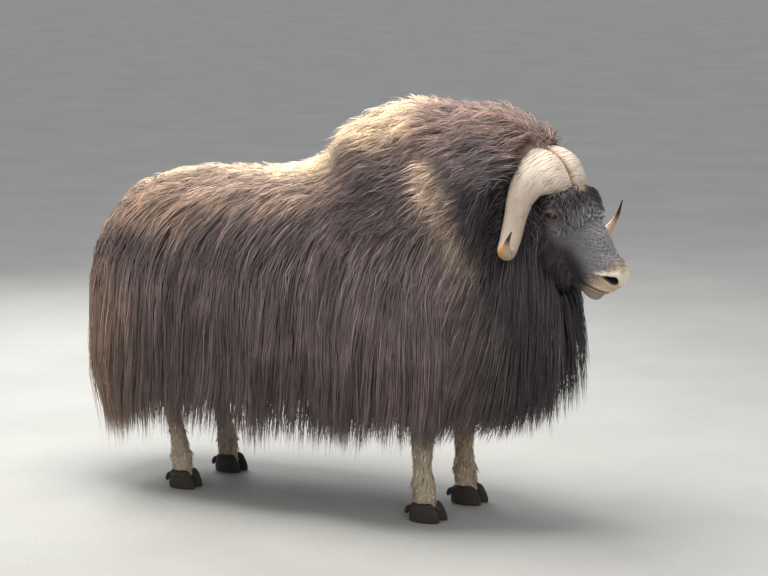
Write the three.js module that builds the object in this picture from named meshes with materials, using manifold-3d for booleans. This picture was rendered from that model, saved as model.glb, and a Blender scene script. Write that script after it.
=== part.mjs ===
// A bull muskox, life size, standing four-square with its head low and turned a little to its right.
// Millimetres. +X runs towards the nose, +Y to the animal's left, +Z up, and the hooves stand on Z = 0.
// Its flesh is a smooth blend of ellipsoids. The long coat hangs from it as flat, tapered locks in tiers.
import * as THREE from "three";
import { mergeVertices } from "three/addons/utils/BufferGeometryUtils.js";
import Module from "manifold-3d";

const { Vector3, Matrix4 } = THREE;
const wasm = await Module();
wasm.setup();

// Sizes that several parts share
const GAP = 0.3; // kept between neighbouring parts
const SIDE_CUT = 225; // half the distance between the cuts along the body's sides
const REAR_CUT = -830; // cut between the hindquarters and the hair behind them
const RUMP_CUT = -330; // cut between rump and back
const SHOULDER_CUT = 80; // cut between back and shoulders
const NECK_CUT = 455; // cut between shoulders and neck
const FAR = 2000; // larger than the animal, for cutting boxes
const SINK = 28; // how deep a lock's root sits under the surface it grows from

const point = (x, y, z) => new Vector3(x, y, z);
const lerp = THREE.MathUtils.lerp;

// A repeatable random number in -1 to 1, from a seed kept in a counter.
let seed = 20260711;
function vary() {
  seed = (seed + 0x6d2b79f5) | 0;
  let t = Math.imul(seed ^ (seed >>> 15), 1 | seed);
  t = (t + Math.imul(t ^ (t >>> 7), 61 | t)) ^ t;
  return (((t ^ (t >>> 14)) >>> 0) / 4294967296) * 2 - 1;
}

// Solids

function solidOf(geometry) {
  const bare = new THREE.BufferGeometry();
  bare.setAttribute("position", geometry.getAttribute("position"));
  bare.setIndex(geometry.getIndex());
  const merged = mergeVertices(bare, 1e-3);
  const vertProperties = merged.attributes.position.array;
  const triVerts = new Uint32Array(merged.index.array);
  const made = new wasm.Manifold(new wasm.Mesh({ numProp: 3, vertProperties, triVerts }));
  if (made.volume() >= 0) return made;
  for (let i = 0; i < triVerts.length; i += 3) {
    [triVerts[i + 1], triVerts[i + 2]] = [triVerts[i + 2], triVerts[i + 1]];
  }
  return new wasm.Manifold(new wasm.Mesh({ numProp: 3, vertProperties, triVerts }));
}

function box(low, high, matrix) {
  const size = high.clone().sub(low);
  const middle = low.clone().add(high).multiplyScalar(0.5);
  const geometry = new THREE.BoxGeometry(size.x, size.y, size.z);
  geometry.translate(middle.x, middle.y, middle.z);
  if (matrix) geometry.applyMatrix4(matrix);
  return solidOf(geometry);
}

// A closed skin over rings of points. A ring of one point is the apex of a cone, and open ends are capped.
function loft(rings) {
  const positions = [];
  const index = [];
  const starts = rings.map((ring) => {
    const start = positions.length / 3;
    ring.forEach((p) => positions.push(p.x, p.y, p.z));
    return start;
  });
  for (let i = 0; i + 1 < rings.length; i++) {
    const [a, b] = [rings[i].length, rings[i + 1].length];
    const [sa, sb] = [starts[i], starts[i + 1]];
    for (let j = 0; j < Math.max(a, b); j++) {
      const k = (j + 1) % Math.max(a, b);
      if (a > 1) index.push(sa + j, sa + k, sb + (b > 1 ? k : 0));
      if (b > 1) index.push(sa + (a > 1 ? j : 0), sb + k, sb + j);
    }
  }
  const cap = (ring, start, turn) => {
    for (let j = 1; j + 1 < ring.length; j++) {
      index.push(start, start + j + (turn ? 1 : 0), start + j + (turn ? 0 : 1));
    }
  };
  cap(rings[0], starts[0], true);
  cap(rings.at(-1), starts.at(-1), false);
  const geometry = new THREE.BufferGeometry();
  geometry.setAttribute("position", new THREE.Float32BufferAttribute(positions, 3));
  geometry.setIndex(index);
  return solidOf(geometry);
}

// An upright or tilted ellipse of points round a centre, across the directions u and v.
function oval(centre, u, v, radiusU, radiusV, count, power = 1) {
  const bulge = (c) => Math.sign(c) * Math.abs(c) ** power;
  return Array.from({ length: count }, (_, i) => {
    const a = (2 * Math.PI * i) / count;
    return centre
      .clone()
      .addScaledVector(u, radiusU * bulge(Math.cos(a)))
      .addScaledVector(v, radiusV * bulge(Math.sin(a)));
  });
}

// Joins pieces into one closed body. A hollow that the join seals is filled, and a loose scrap is dropped.
function fused(pieces) {
  const whole = pieces.reduce((sum, piece) => sum.add(piece));
  return largest(whole);
}

function largest(solid) {
  const bodies = solid.decompose();
  return bodies.reduce((best, body) => (body.volume() > best.volume() ? body : best));
}

const without = (solid, ...cutters) => cutters.reduce((left, cutter) => left.subtract(cutter), solid);

// Flesh, as distances to smooth blends of ellipsoids

const ellipsoid = (centre, radii) => ({ centre: point(...centre), radii: point(...radii) });

function distanceTo(shape, p) {
  const d = p.clone().sub(shape.centre);
  const scaled = d.clone().divide(shape.radii);
  const k0 = scaled.length();
  if (k0 < 1e-6) return -Math.min(shape.radii.x, shape.radii.y, shape.radii.z);
  return (k0 * (k0 - 1)) / scaled.divide(shape.radii).length();
}

// The signed distance from p to the blended shapes, where blend is how far the joints are rounded.
function depth(shapes, blend, p) {
  let best = Infinity;
  for (const shape of shapes) {
    const d = distanceTo(shape, p);
    const h = Math.max(blend - Math.abs(best - d), 0) / blend;
    best = Math.min(best, d) - (best === Infinity ? 0 : (h * h * blend) / 4);
  }
  return best;
}

function outward(shapes, blend, p) {
  const step = 4;
  const slope = (axis) => {
    const [ahead, behind] = [p.clone(), p.clone()];
    ahead[axis] += step;
    behind[axis] -= step;
    return depth(shapes, blend, ahead) - depth(shapes, blend, behind);
  };
  return point(slope("x"), slope("y"), slope("z")).normalize();
}

// How far from start, along direction, the blended surface lies.
function reach(flesh, start, direction, furthest = 700) {
  let [inside, outside] = [0, furthest];
  for (let i = 0; i < 26; i++) {
    const middle = (inside + outside) / 2;
    const p = start.clone().addScaledVector(direction, middle);
    if (depth(flesh.shapes, flesh.blend, p) < 0) inside = middle;
    else outside = middle;
  }
  return (inside + outside) / 2;
}

// Rings of a skin round blended shapes, cut across X. spine(x) is a height inside the section at x. Grown,
// each point moves out along its own normal, so that the grown facets stay parallel to the bare ones.
function fleshRings(flesh, spine, from, to, sections, around, grow = 0) {
  const start = from - reach(flesh, point(from, 0, spine(from)), point(-1, 0, 0));
  const end = to + reach(flesh, point(to, 0, spine(to)), point(1, 0, 0));
  const grown = (p) => (grow ? p.addScaledVector(outward(flesh.shapes, flesh.blend, p), grow * 1.1) : p);
  const rings = [[point(start - grow, 0, spine(from))]];
  for (let i = 1; i < sections; i++) {
    const x = lerp(start, end, (1 - Math.cos((Math.PI * i) / sections)) / 2);
    const centre = point(x, 0, spine(x));
    const ring = [];
    for (let j = 0; j < around; j++) {
      const a = (2 * Math.PI * (j + 0.5)) / around;
      const ray = point(0, Math.sin(a), Math.cos(a));
      ring.push(grown(centre.clone().addScaledVector(ray, reach(flesh, centre, ray))));
    }
    rings.push(ring);
  }
  rings.push([point(end + grow, 0, spine(to))]);
  return rings;
}

const BODY = {
  blend: 110,
  shapes: [
    ellipsoid([-575, 0, 800], [385, 300, 315]), // rump
    ellipsoid([-190, 0, 815], [520, 335, 325]), // barrel
    ellipsoid([-150, 0, 640], [430, 290, 180]), // belly
    ellipsoid([315, 0, 1015], [400, 230, 348]), // hump
    ellipsoid([300, 0, 760], [330, 315, 300]), // chest
    ellipsoid([572, 0, 1085], [235, 208, 258]), // neck
    ellipsoid([600, 0, 860], [205, 180, 210]), // throat
    ellipsoid([560, 0, 640], [165, 165, 205]), // brisket
  ],
};
const bodySpine = (x) => 800 + THREE.MathUtils.clamp(x / 600, 0, 1) * 110;

// Head frame: local x along the face from crown to nose, local z out of the forehead, local y to the left

const HEAD_PITCH = THREE.MathUtils.degToRad(58);
const HEAD_TURN = THREE.MathUtils.degToRad(-7);
const CROWN = point(775, 0, 1262);
const headMatrix = new Matrix4()
  .makeTranslation(CROWN)
  .multiply(new Matrix4().makeRotationZ(HEAD_TURN))
  .multiply(new Matrix4().makeRotationY(HEAD_PITCH));
const onHead = (x, y, z) => point(x, y, z).applyMatrix4(headMatrix);
const headWay = (x, y, z) => point(x, y, z).transformDirection(headMatrix);
const HEAD_BACK = -22; // the head's hindmost plane, behind the crown
const JAW_BACK = -232; // the plane behind the jaws

const bothSides = ([x, y, z], radii) => [1, -1].map((side) => ellipsoid([x, y * side, z], radii));
const FACE = {
  blend: 34,
  shapes: [
    ellipsoid([75, 0, -86], [125, 100, 76]), // cranium
    ellipsoid([178, 0, -48], [72, 108, 62]), // brow
    ...bothSides([200, 92, -54], [44, 36, 36]), // orbits
    ellipsoid([300, 0, -66], [150, 66, 78]), // face
    ellipsoid([345, 0, -10], [135, 42, 38]), // bridge of the nose
    ellipsoid([434, 0, -48], [66, 62, 56]), // muzzle
    ellipsoid([447, 0, -6], [40, 54, 36]), // nose pad
    ellipsoid([440, 0, -106], [60, 45, 34]), // chin
    ...bothSides([215, 58, -140], [105, 50, 88]), // cheeks
    ellipsoid([290, 0, -142], [150, 52, 62]), // lower jaw
  ],
};

// Eyes, ears and horns

const EYE_RADIUS = 18.5;
const LID_THICKNESS = 5;
const eyeCentre = (side) => onHead(203, 112 * side, -52);
const eyeWay = (side) => headWay(0.28, side, 0.2);

function ball(centre, radius, around = 16) {
  const geometry = new THREE.SphereGeometry(radius, around, Math.round(around * 0.6));
  geometry.translate(centre.x, centre.y, centre.z);
  return solidOf(geometry);
}

// The almond opening between the lids, as a wedge that widens outwards from the middle of the eye.
function lidOpening(side) {
  const way = eyeWay(side);
  const along = headWay(0.68, 0, 0.73).cross(way).cross(way).negate().normalize();
  const across = way.clone().cross(along).normalize();
  const halfLength = 17;
  const halfHeight = 9.5;
  const ring = (far) => {
    const centre = eyeCentre(side).addScaledVector(way, 4 + far * 30);
    return Array.from({ length: 12 }, (_, i) => {
      const a = (2 * Math.PI * i) / 12;
      const size = lerp(0.35, 1.5, far);
      const pinch = Math.sin(a) * Math.abs(Math.sin(a)) ** 0.4;
      return centre
        .clone()
        .addScaledVector(along, size * halfLength * Math.cos(a))
        .addScaledVector(across, size * halfHeight * pinch);
    });
  };
  return loft([ring(0), ring(1)]);
}

// The horn's centre line on the left side, from the groove in the forehead to the hook, with the section's
// half width along the face, its half thickness, and how far its hind edge bends down over the crown.
const HORN_LINE = [
  { at: [58, 7, -16], width: 82, thick: 22, bend: 38 },
  { at: [58, 22, -15], width: 90, thick: 31, bend: 40 },
  { at: [58, 60, -15], width: 92, thick: 33, bend: 38 },
  { at: [66, 106, -40], width: 76, thick: 31, bend: 22 },
  { at: [82, 146, -64], width: 57, thick: 29, bend: 8 },
  { at: [116, 178, -94], width: 45, thick: 27, bend: 0 },
  { at: [165, 202, -127], width: 37, thick: 26, bend: 0 },
  { at: [217, 226, -160], width: 35, thick: 26, bend: 0 },
  { at: [257, 262, -176], width: 31, thick: 25, bend: 0 },
  { at: [262, 300, -152], width: 20, thick: 18, bend: 0 },
];
// The tips are worn unlike: the left one is the longer.
const HORN_TIPS = {
  left: [
    { at: [234, 318, -98], width: 10.5, thick: 10, bend: 0 },
    { at: [197, 308, -42], width: 1.6, thick: 1.6, bend: 0 },
  ],
  right: [
    { at: [242, 320, -116], width: 10.5, thick: 10, bend: 0 },
    { at: [222, 322, -82], width: 1.6, thick: 1.6, bend: 0 },
  ],
};

function horn(side, sections, around, grow = 0) {
  const stations = [...HORN_LINE, ...HORN_TIPS[side > 0 ? "left" : "right"]];
  const values = (pick) => new THREE.CatmullRomCurve3(stations.map(pick), false, "centripetal");
  const line = values((h) => onHead(h.at[0], h.at[1] * side, h.at[2]));
  const sizes = values((h) => point(h.width, h.thick, h.bend));
  let across = headWay(1, 0, 0);
  const rings = [];
  for (let i = 0; i <= sections; i++) {
    const t = i / sections;
    const along = line.getTangent(t);
    across.addScaledVector(along, -across.dot(along)).normalize();
    const out = along.clone().cross(across).multiplyScalar(-side);
    const size = sizes.getPoint(t);
    const centre = line.getPoint(t);
    if (i === 0) centre.addScaledVector(along, -grow);
    if (i === sections) centre.addScaledVector(along, grow);
    const ring = oval(centre, across, out, size.x + grow, size.y + grow, around, lerp(0.82, 1, t));
    for (const corner of ring) {
      const forward = corner.clone().sub(centre).dot(across) / (size.x + grow);
      const behind = Math.max(0.1 - forward, 0) / 1.1;
      corner.addScaledVector(out, -size.z * behind ** 1.9);
    }
    rings.push(ring);
  }
  return loft(rings);
}

// A leaf-shaped cup, open to the front and outwards, whose rim is thin and whose root is thick. Grown, its
// cup is filled, so that nothing grows in the ear.
function ear(side, grow = 0) {
  const root = onHead(12, 72 * side, -108);
  const tip = onHead(46, 262 * side, -120);
  const along = tip.clone().sub(root).normalize();
  const open = headWay(0.35, 0, 0.9);
  open.addScaledVector(along, -open.dot(along)).normalize();
  const across = along.clone().cross(open).normalize();
  const length = tip.distanceTo(root);
  const count = 7;
  const arc = 6;
  const rings = [];
  for (let i = 0; i <= count; i++) {
    const t = i / count;
    const half = 34 * Math.sin(Math.PI * (0.18 + 0.8 * t)) ** 0.8 + 1.2;
    const wall = lerp(5, 2, t);
    const cup = half * 0.75 * Math.sin(Math.PI * Math.min(1, 0.15 + t)) + 0.5;
    const past = grow * ((i === count ? 1 : 0) - (i === 0 ? 1 : 0));
    const centre = root.clone().addScaledVector(along, length * t + past);
    const at = (a, wide, deep) =>
      centre
        .clone()
        .addScaledVector(across, wide * Math.sin(a))
        .addScaledVector(open, -deep * Math.cos(a));
    const angle = (j) => Math.PI * (j / arc - 0.5);
    const ring = [];
    for (let j = 0; j <= arc; j++) ring.push(at(angle(j), half + wall + grow, cup + wall + grow));
    const inner = grow ? -wall - grow : Math.max(cup - wall, 0.2);
    for (let j = arc - 1; j > 0; j--) ring.push(at(angle(j), half - wall * 0.6, inner));
    rings.push(ring);
  }
  return loft(rings);
}

// Nostrils, lips and the line of the mouth

function nostril(side) {
  const stops = [
    { at: [488, 57, -5], r: [29, 12] },
    { at: [472, 40, -7], r: [24, 10] },
    { at: [458, 24, -8], r: [12, 6] },
  ];
  const deep = headWay(0.66, 0.74 * side, 0.05);
  const upper = headWay(0.72, -0.66 * side, 0.24).cross(deep).normalize();
  const along = deep.clone().cross(upper).normalize();
  return loft(stops.map(({ at, r }) => oval(onHead(at[0], at[1] * side, at[2]), along, upper, ...r, 10)));
}

// Half-round curve of the lips from the right corner of the mouth round the front to the left one.
const MOUTH_HALF_WIDTH = 58;

function lipLine(inset) {
  const [cornerX, frontX, cornerZ, frontZ] = [405, 506, -106, -52];
  const count = 10;
  return Array.from({ length: count + 1 }, (_, i) => {
    const a = Math.PI * (i / count - 0.5);
    const forward = Math.cos(a) ** 0.75;
    const x = lerp(cornerX, frontX - inset, forward);
    return {
      at: point(x, (MOUTH_HALF_WIDTH - inset) * Math.sin(a), lerp(cornerZ, frontZ, forward)),
      out: point(Math.cos(a), Math.sin(a), 0),
    };
  });
}

function mouthLine() {
  const rings = lipLine(0).map(({ at, out }) => {
    const inner = at.clone().addScaledVector(out, -16);
    const outer = at.clone().addScaledVector(out, 14);
    const high = outer.clone().add(point(0, 0, 5.5));
    const low = outer.clone().add(point(0, 0, -5.5));
    return [inner, high, low].map((p) => onHead(p.x, p.y, p.z));
  });
  return loft(rings);
}

function lip(drop, radius) {
  const rings = lipLine(6 + Math.abs(drop) * 0.3).map(({ at, out }, i, all) => {
    const taper = Math.sin(Math.PI * lerp(0.12, 0.88, i / (all.length - 1)));
    const centre = onHead(at.x, at.y, at.z + drop);
    const half = radius * taper;
    return oval(centre, headWay(out.x, out.y, out.z), headWay(0, 0, 1), half, half * 1.1, 6);
  });
  return loft(rings);
}

// Coat

// The line that a lock follows over the flesh: it starts under the skin, lifts to its stand-off, and runs
// with the lie of the coat, resting on the flesh until it hangs free.
function lieOfLock(flesh, root, length, standOff, lie) {
  const step = 12;
  const skin = outward(flesh.shapes, flesh.blend, root);
  const line = [root.clone().addScaledVector(skin, -SINK)];
  let at = root.clone();
  for (let run = step; run <= length; run += step) {
    const n = outward(flesh.shapes, flesh.blend, at);
    const way = lie(at, run / length).clone();
    const height = standOff * Math.min(1, run / Math.min(length * 0.4, 120));
    const clear = depth(flesh.shapes, flesh.blend, at);
    if (clear < height + 30) {
      const into = way.dot(n);
      if (into < 0) way.addScaledVector(n, -into);
    }
    at = at.clone().addScaledVector(way.normalize(), step);
    const short = height - depth(flesh.shapes, flesh.blend, at);
    if (short > 0) at.addScaledVector(outward(flesh.shapes, flesh.blend, at), short);
    line.push(at);
  }
  return line;
}

// A flat, tapered lock with a ridge along its outer face, on the line that lieOfLock gives. A long lock is
// bent to stay within its room, and a short one is left for the room to cut.
function lock(flesh, line, { width, thick, within, short }) {
  const stops = short ? [0, 0.3, 0.66] : [0, 0.2, 0.68];
  const wide = short ? [0.45, 1, 0.72] : [0.5, 1, 0.8];
  const curve = new THREE.CatmullRomCurve3(line, false, "centripetal");
  const clamp = (p, margin) => {
    if (!short) p.x = THREE.MathUtils.clamp(p.x, within.low.x + margin, within.high.x - margin);
    p.y = THREE.MathUtils.clamp(p.y, within.low.y + margin, within.high.y - margin);
    return p;
  };
  const sunk = short ? 0.6 : 0.25; // share of its thickness below its line
  const rings = stops.map((t, i) => {
    const half = (width / 2) * wide[i];
    const centre = clamp(curve.getPoint(t), i ? half * 0.55 : 0);
    const along = curve.getTangent(t);
    const out = outward(flesh.shapes, flesh.blend, centre);
    out.addScaledVector(along, -out.dot(along)).normalize();
    const across = along.clone().cross(out).normalize();
    const ridge = thick * wide[i];
    return [
      centre.clone().addScaledVector(across, -half).addScaledVector(out, -ridge * sunk),
      centre.clone().addScaledVector(across, half).addScaledVector(out, -ridge * sunk),
      centre.clone().addScaledVector(out, ridge * (1 - sunk)),
    ];
  });
  rings.push([clamp(curve.getPoint(1), 8)]);
  return loft(rings);
}

// Point on the flesh seen from the spine at x, angle degrees round from the top towards the given side.
function onBody(x, angle) {
  const centre = point(x, 0, bodySpine(x));
  const a = THREE.MathUtils.degToRad(angle);
  const ray = point(0, Math.sin(a), Math.cos(a));
  return centre.addScaledVector(ray, reach(BODY, centre, ray));
}

// Hair falls, swept back strongly on top of the back and hardly at all where it hangs.
function fallingLie(sweep, inwards = 0) {
  return (at) => {
    const high = THREE.MathUtils.clamp((at.z - 850) / 300, 0, 1);
    const side = Math.sign(at.y) || 1;
    return point(-sweep * (0.12 + high), -inwards * side, -1);
  };
}

// A row of locks. where(t) gives each root, and the other values vary a little from lock to lock.
function row(flesh, shape, where) {
  const locks = [];
  for (let i = 0; i < shape.count; i++) {
    const length = shape.length * (1 + 0.12 * vary());
    const standOff = shape.standOff * (1 + 0.2 * vary()) + (i % 2) * shape.thick * 0.3;
    const drift = 0.12 * vary();
    const lie = (at, t) => shape.lie(at).add(point(drift * Math.sin(Math.PI * (0.3 + t)), 0, 0));
    const line = lieOfLock(flesh, where((i + 0.5) / shape.count), length, standOff, lie);
    locks.push(lock(flesh, line, { ...shape, width: shape.width * (1 + 0.12 * vary()) }));
  }
  return locks;
}

// Rooms that the body is divided into

const region = (low, high) => ({ low: point(...low), high: point(...high) });
const roomOf = (r) => box(r.low.clone().addScalar(GAP / 2), r.high.clone().addScalar(-GAP / 2));
const sideRegion = (side, fromX, toX) =>
  side > 0 ? region([fromX, SIDE_CUT, 0], [toX, FAR, FAR]) : region([fromX, -FAR, 0], [toX, -SIDE_CUT, FAR]);
const middleRegion = (fromX, toX) => region([fromX, -SIDE_CUT, 0], [toX, SIDE_CUT, FAR]);

const bodyFlesh = (grow) => loft(fleshRings(BODY, bodySpine, -900, 720, 20, 16, grow));
const bareBody = bodyFlesh(0);
const headBox = (grow) =>
  box(point(HEAD_BACK - grow, -300, JAW_BACK - grow), point(700, 300, 400), headMatrix);

function faceFlesh(grow) {
  const rings = fleshRings(FACE, () => -78, 60, 440, 19, 18, grow);
  return loft(rings.map((ring) => ring.map((p) => p.clone().applyMatrix4(headMatrix))));
}
const faceClearance = faceFlesh(GAP);
const headClearance = faceClearance.intersect(headBox(GAP));

// The part of the body inside a room, with the locks that grow there.
function coated(room, locks, ...cutters) {
  const solid = roomOf(room);
  const whole = fused([bareBody.intersect(solid), ...locks]).intersect(solid);
  return largest(without(whole, ...cutters));
}

// Tiers of hanging locks, from the belly up. A tier's angle is where its roots sit, round from the spine.
const HANGING_TIERS = [
  { angle: 112, length: 480, standOff: 14, width: 124, thick: 36, count: 5 },
  { angle: 82, length: 560, standOff: 34, width: 142, thick: 32, count: 4 },
  { angle: 47, length: 520, standOff: 42, width: 136, thick: 28, count: 4 },
];

function hangingLocks(side, fromX, toX, within, longer) {
  return HANGING_TIERS.flatMap((tier) => {
    const where = (t) => onBody(lerp(fromX, toX, t) + 12 * vary(), side * (tier.angle + 4 * vary()));
    const shape = { ...tier, length: tier.length + longer, lie: fallingLie(0.5), within };
    return row(BODY, shape, where);
  });
}

// Rows across the top of the body, one behind the other, from the front row backwards.
function topLocks(fromX, toX, rows, spread, shape) {
  return Array.from({ length: rows }, (_, i) => {
    const x = lerp(toX, fromX, (i + 0.3) / rows);
    const where = (t) => onBody(x + 15 * vary(), lerp(-spread, spread, t));
    return row(BODY, shape, where);
  }).flat();
}

// Tiers round the hind end. The roots stand round an upright line through the rump.
const REAR_TIERS = [
  { z: 650, length: 520, standOff: 12, width: 150, thick: 36, count: 5 },
  { z: 830, length: 650, standOff: 28, width: 145, thick: 32, count: 5 },
  { z: 980, length: 560, standOff: 28, width: 140, thick: 28, count: 4 },
];

function rearLocks(within) {
  const centre = point(REAR_CUT + 150, 0, 0);
  return REAR_TIERS.flatMap((tier) => {
    const where = (t) => {
      const a = lerp(-0.95, 0.95, t);
      const from = centre.clone().setZ(tier.z + 20 * vary());
      const way = point(-Math.cos(a), Math.sin(a), 0);
      return from.addScaledVector(way, reach(BODY, from, way));
    };
    return row(BODY, { ...tier, lie: fallingLie(0.5), within }, where);
  });
}

// The mane down the sides of the neck, by angle round from the spine, and the beard round the throat, by
// height
const MANE_TIERS = [
  { angle: 128, front: 690, length: 430, standOff: 16, width: 140, thick: 34, count: 2 },
  { angle: 94, front: 690, length: 480, standOff: 30, width: 140, thick: 32, count: 3 },
  { angle: 46, front: 610, length: 440, standOff: 34, width: 130, thick: 30, count: 2 },
];
const BEARD_TIERS = [
  { z: 640, from: 0.25, length: 370, standOff: 10, width: 140, thick: 36, count: 2 },
  { z: 820, from: 0.25, length: 420, standOff: 22, width: 134, thick: 34, count: 2 },
  { z: 950, from: 0.75, length: 400, standOff: 24, width: 124, thick: 30, count: 2 },
];

function maneLocks(within) {
  const lie = fallingLie(0.45);
  return [1, -1].flatMap((side) => {
    const flanks = MANE_TIERS.flatMap((tier) => {
      const where = (t) => {
        const x = lerp(tier.front, NECK_CUT, t) + 10 * vary();
        return onBody(x, side * (tier.angle + 4 * vary()));
      };
      return row(BODY, { ...tier, lie, within }, where);
    });
    const front = BEARD_TIERS.flatMap((tier) => {
      const where = (t) => {
        const a = side * lerp(tier.from - 0.25, 1.15, t);
        const from = point(560, 0, tier.z + 15 * vary());
        const way = point(Math.cos(a), Math.sin(a), 0);
        return from.addScaledVector(way, reach(BODY, from, way));
      };
      return row(BODY, { ...tier, lie: fallingLie(0.05), within }, where);
    });
    return [...flanks, ...front];
  });
}

// Legs and hooves, as heights up the leg from the hoof, each with its place along X and its half widths

const HOOF_TOP = 62;
const FORE_LEG = [
  { x: 372, z: HOOF_TOP + GAP, wide: 43, deep: 46 },
  { x: 366, z: 118, wide: 44, deep: 48 },
  { x: 362, z: 190, wide: 34, deep: 37 },
  { x: 362, z: 270, wide: 42, deep: 44 },
  { x: 358, z: 330, wide: 50, deep: 52 },
  { x: 350, z: 420, wide: 54, deep: 66 },
  { x: 340, z: 640, wide: 58, deep: 84 },
];
const HIND_LEG = [
  { x: -612, z: HOOF_TOP + GAP, wide: 40, deep: 43 },
  { x: -618, z: 118, wide: 41, deep: 46 },
  { x: -634, z: 200, wide: 32, deep: 38 },
  { x: -664, z: 310, wide: 38, deep: 50 },
  { x: -668, z: 360, wide: 44, deep: 56 },
  { x: -640, z: 450, wide: 54, deep: 78 },
  { x: -590, z: 660, wide: 60, deep: 110 },
];
const STANCE = 148; // from the middle of the body to the middle of each leg

function leg(stations, side) {
  const rings = stations.map((s) =>
    oval(point(s.x, STANCE * side, s.z), point(1, 0, 0), point(0, 1, 0), s.deep, s.wide, 10),
  );
  return loft(rings);
}

// Two broad claws with a cleft between them, and two dewclaws behind.
function hoof(x, side, size) {
  const centre = (z, back) => point(x + back, STANCE * side, z);
  const [ahead, aside] = [point(1, 0, 0), point(0, 1, 0)];
  const block = loft([
    oval(centre(0, 8), ahead, aside, size * 1.08, size, 12, 0.85),
    oval(centre(22, 6), ahead, aside, size * 1.06, size * 0.99, 12, 0.85),
    oval(centre(HOOF_TOP, -2), ahead, aside, size * 0.8, size * 0.76, 12, 0.95),
  ]);
  const wedge = (at, half, top) => [
    point(at, STANCE * side - half, -5),
    point(at, STANCE * side + half, -5),
    point(at, STANCE * side, top),
  ];
  const cleft = loft([wedge(x + 200, 8, 74), wedge(x - 8, 5, 30)]);
  const dewclaws = [-0.42, 0.42].map((offset) => {
    const middle = (z, back) => point(x - size + back, STANCE * side + offset * size, z);
    const at = (z, back, r) => oval(middle(z, back), ahead, aside, r, r, 6);
    return loft([at(20, -8, 6), at(34, -6, 13), at(56, 8, 12)]);
  });
  return fused([block, ...dewclaws]).subtract(cleft);
}

// The short tail, a flat tuft that lies between the locks of the rump.
function tail(grow) {
  const [root, tip] = [point(-870, 0, 1010), point(-1040, 0, 800)];
  const along = tip.clone().sub(root).normalize();
  const out = point(0, 1, 0).cross(along).negate();
  const wide = [30, 44, 38, 20, 3];
  const last = wide.length - 1;
  const rings = wide.map((w, i) => {
    const bend = 30 * Math.sin((i + 0.5) / 1.6);
    const past = grow * ((i === last ? 1 : 0) - (i === 0 ? 1 : 0));
    const centre = root.clone().lerp(tip, i / last).addScaledVector(out, bend).addScaledVector(along, past);
    return oval(centre, point(0, 1, 0), out, w + grow, w * 0.5 + grow, 8);
  });
  return loft(rings);
}

// Colours

const BLACK_BROWN = 0x231a16;
const DARK_BROWN = 0x33261f;
const BROWN = 0x57433a;
const SADDLE = 0xb59c7d;
const HORN = 0xc9b497;
const STOCKING = 0x9c8568;
const HOOF = 0x2b2520;

const parts = [];
function add(name, solid, colour, roughness = 0.9) {
  const mesh = solid.getMesh();
  const geometry = new THREE.BufferGeometry();
  geometry.setAttribute("position", new THREE.BufferAttribute(new Float32Array(mesh.vertProperties), 3));
  geometry.setIndex(new THREE.BufferAttribute(new Uint32Array(mesh.triVerts), 1));
  const material = new THREE.MeshStandardMaterial({ color: colour, roughness, metalness: 0 });
  const made = new THREE.Mesh(geometry, material);
  made.name = name;
  parts.push(made);
}

// The body, from the rear forwards
const rearRoom = region([-FAR, -FAR, 0], [REAR_CUT, FAR, FAR]);
add("rear", coated(rearRoom, rearLocks(rearRoom), tail(2 * GAP)), DARK_BROWN);
add("tail", largest(tail(0).subtract(bodyFlesh(GAP))), DARK_BROWN);

const SIDES = [
  ["left", 1],
  ["right", -1],
];
const LENGTHS = [
  ["haunch", REAR_CUT, RUMP_CUT, 20],
  ["flank", RUMP_CUT, SHOULDER_CUT, 0],
  ["shoulder", SHOULDER_CUT, NECK_CUT, 0],
]; // each with the cuts it lies between and how much longer its locks are
for (const [name, fromX, toX, longer] of LENGTHS) {
  for (const [sideName, side] of SIDES) {
    const room = sideRegion(side, fromX, toX);
    add(`${name}_${sideName}`, coated(room, hangingLocks(side, fromX, toX, room, longer)), DARK_BROWN);
  }
}

const topShape = { length: 240, standOff: 10, width: 160, thick: 34, short: true };
const rumpRoom = middleRegion(REAR_CUT, RUMP_CUT);
const rumpShape = { ...topShape, lie: fallingLie(0.6), count: 4, within: rumpRoom };
add("rump", coated(rumpRoom, topLocks(REAR_CUT, RUMP_CUT, 2, 34, rumpShape)), BROWN);
const backRoom = middleRegion(RUMP_CUT, SHOULDER_CUT);
const backShape = { ...topShape, length: 200, thick: 30, lie: fallingLie(0.6), count: 3, within: backRoom };
add("back", coated(backRoom, topLocks(RUMP_CUT, SHOULDER_CUT - 90, 2, 30, backShape)), SADDLE);
const withersRoom = middleRegion(SHOULDER_CUT, NECK_CUT);
const maneShape = { ...topShape, standOff: 20, thick: 52, lie: fallingLie(1.1), count: 4 };
const withersShape = { ...maneShape, within: withersRoom };
add("withers", coated(withersRoom, topLocks(SHOULDER_CUT, NECK_CUT, 3, 32, withersShape)), BROWN);

const neckRoom = region([NECK_CUT, -FAR, 0], [FAR, FAR, FAR]);
const crestShape = { ...maneShape, standOff: 8, thick: 46, count: 3, within: neckRoom };
const crestLocks = topLocks(NECK_CUT, 720, 2, 26, crestShape);
const headParts = SIDES.flatMap(([, side]) => [horn(side, 26, 10, 2 * GAP), ear(side, 2 * GAP)]);
const neckLocks = [...maneLocks(neckRoom), ...crestLocks];
add("neck", coated(neckRoom, neckLocks, headClearance, ...headParts), DARK_BROWN);

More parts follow.
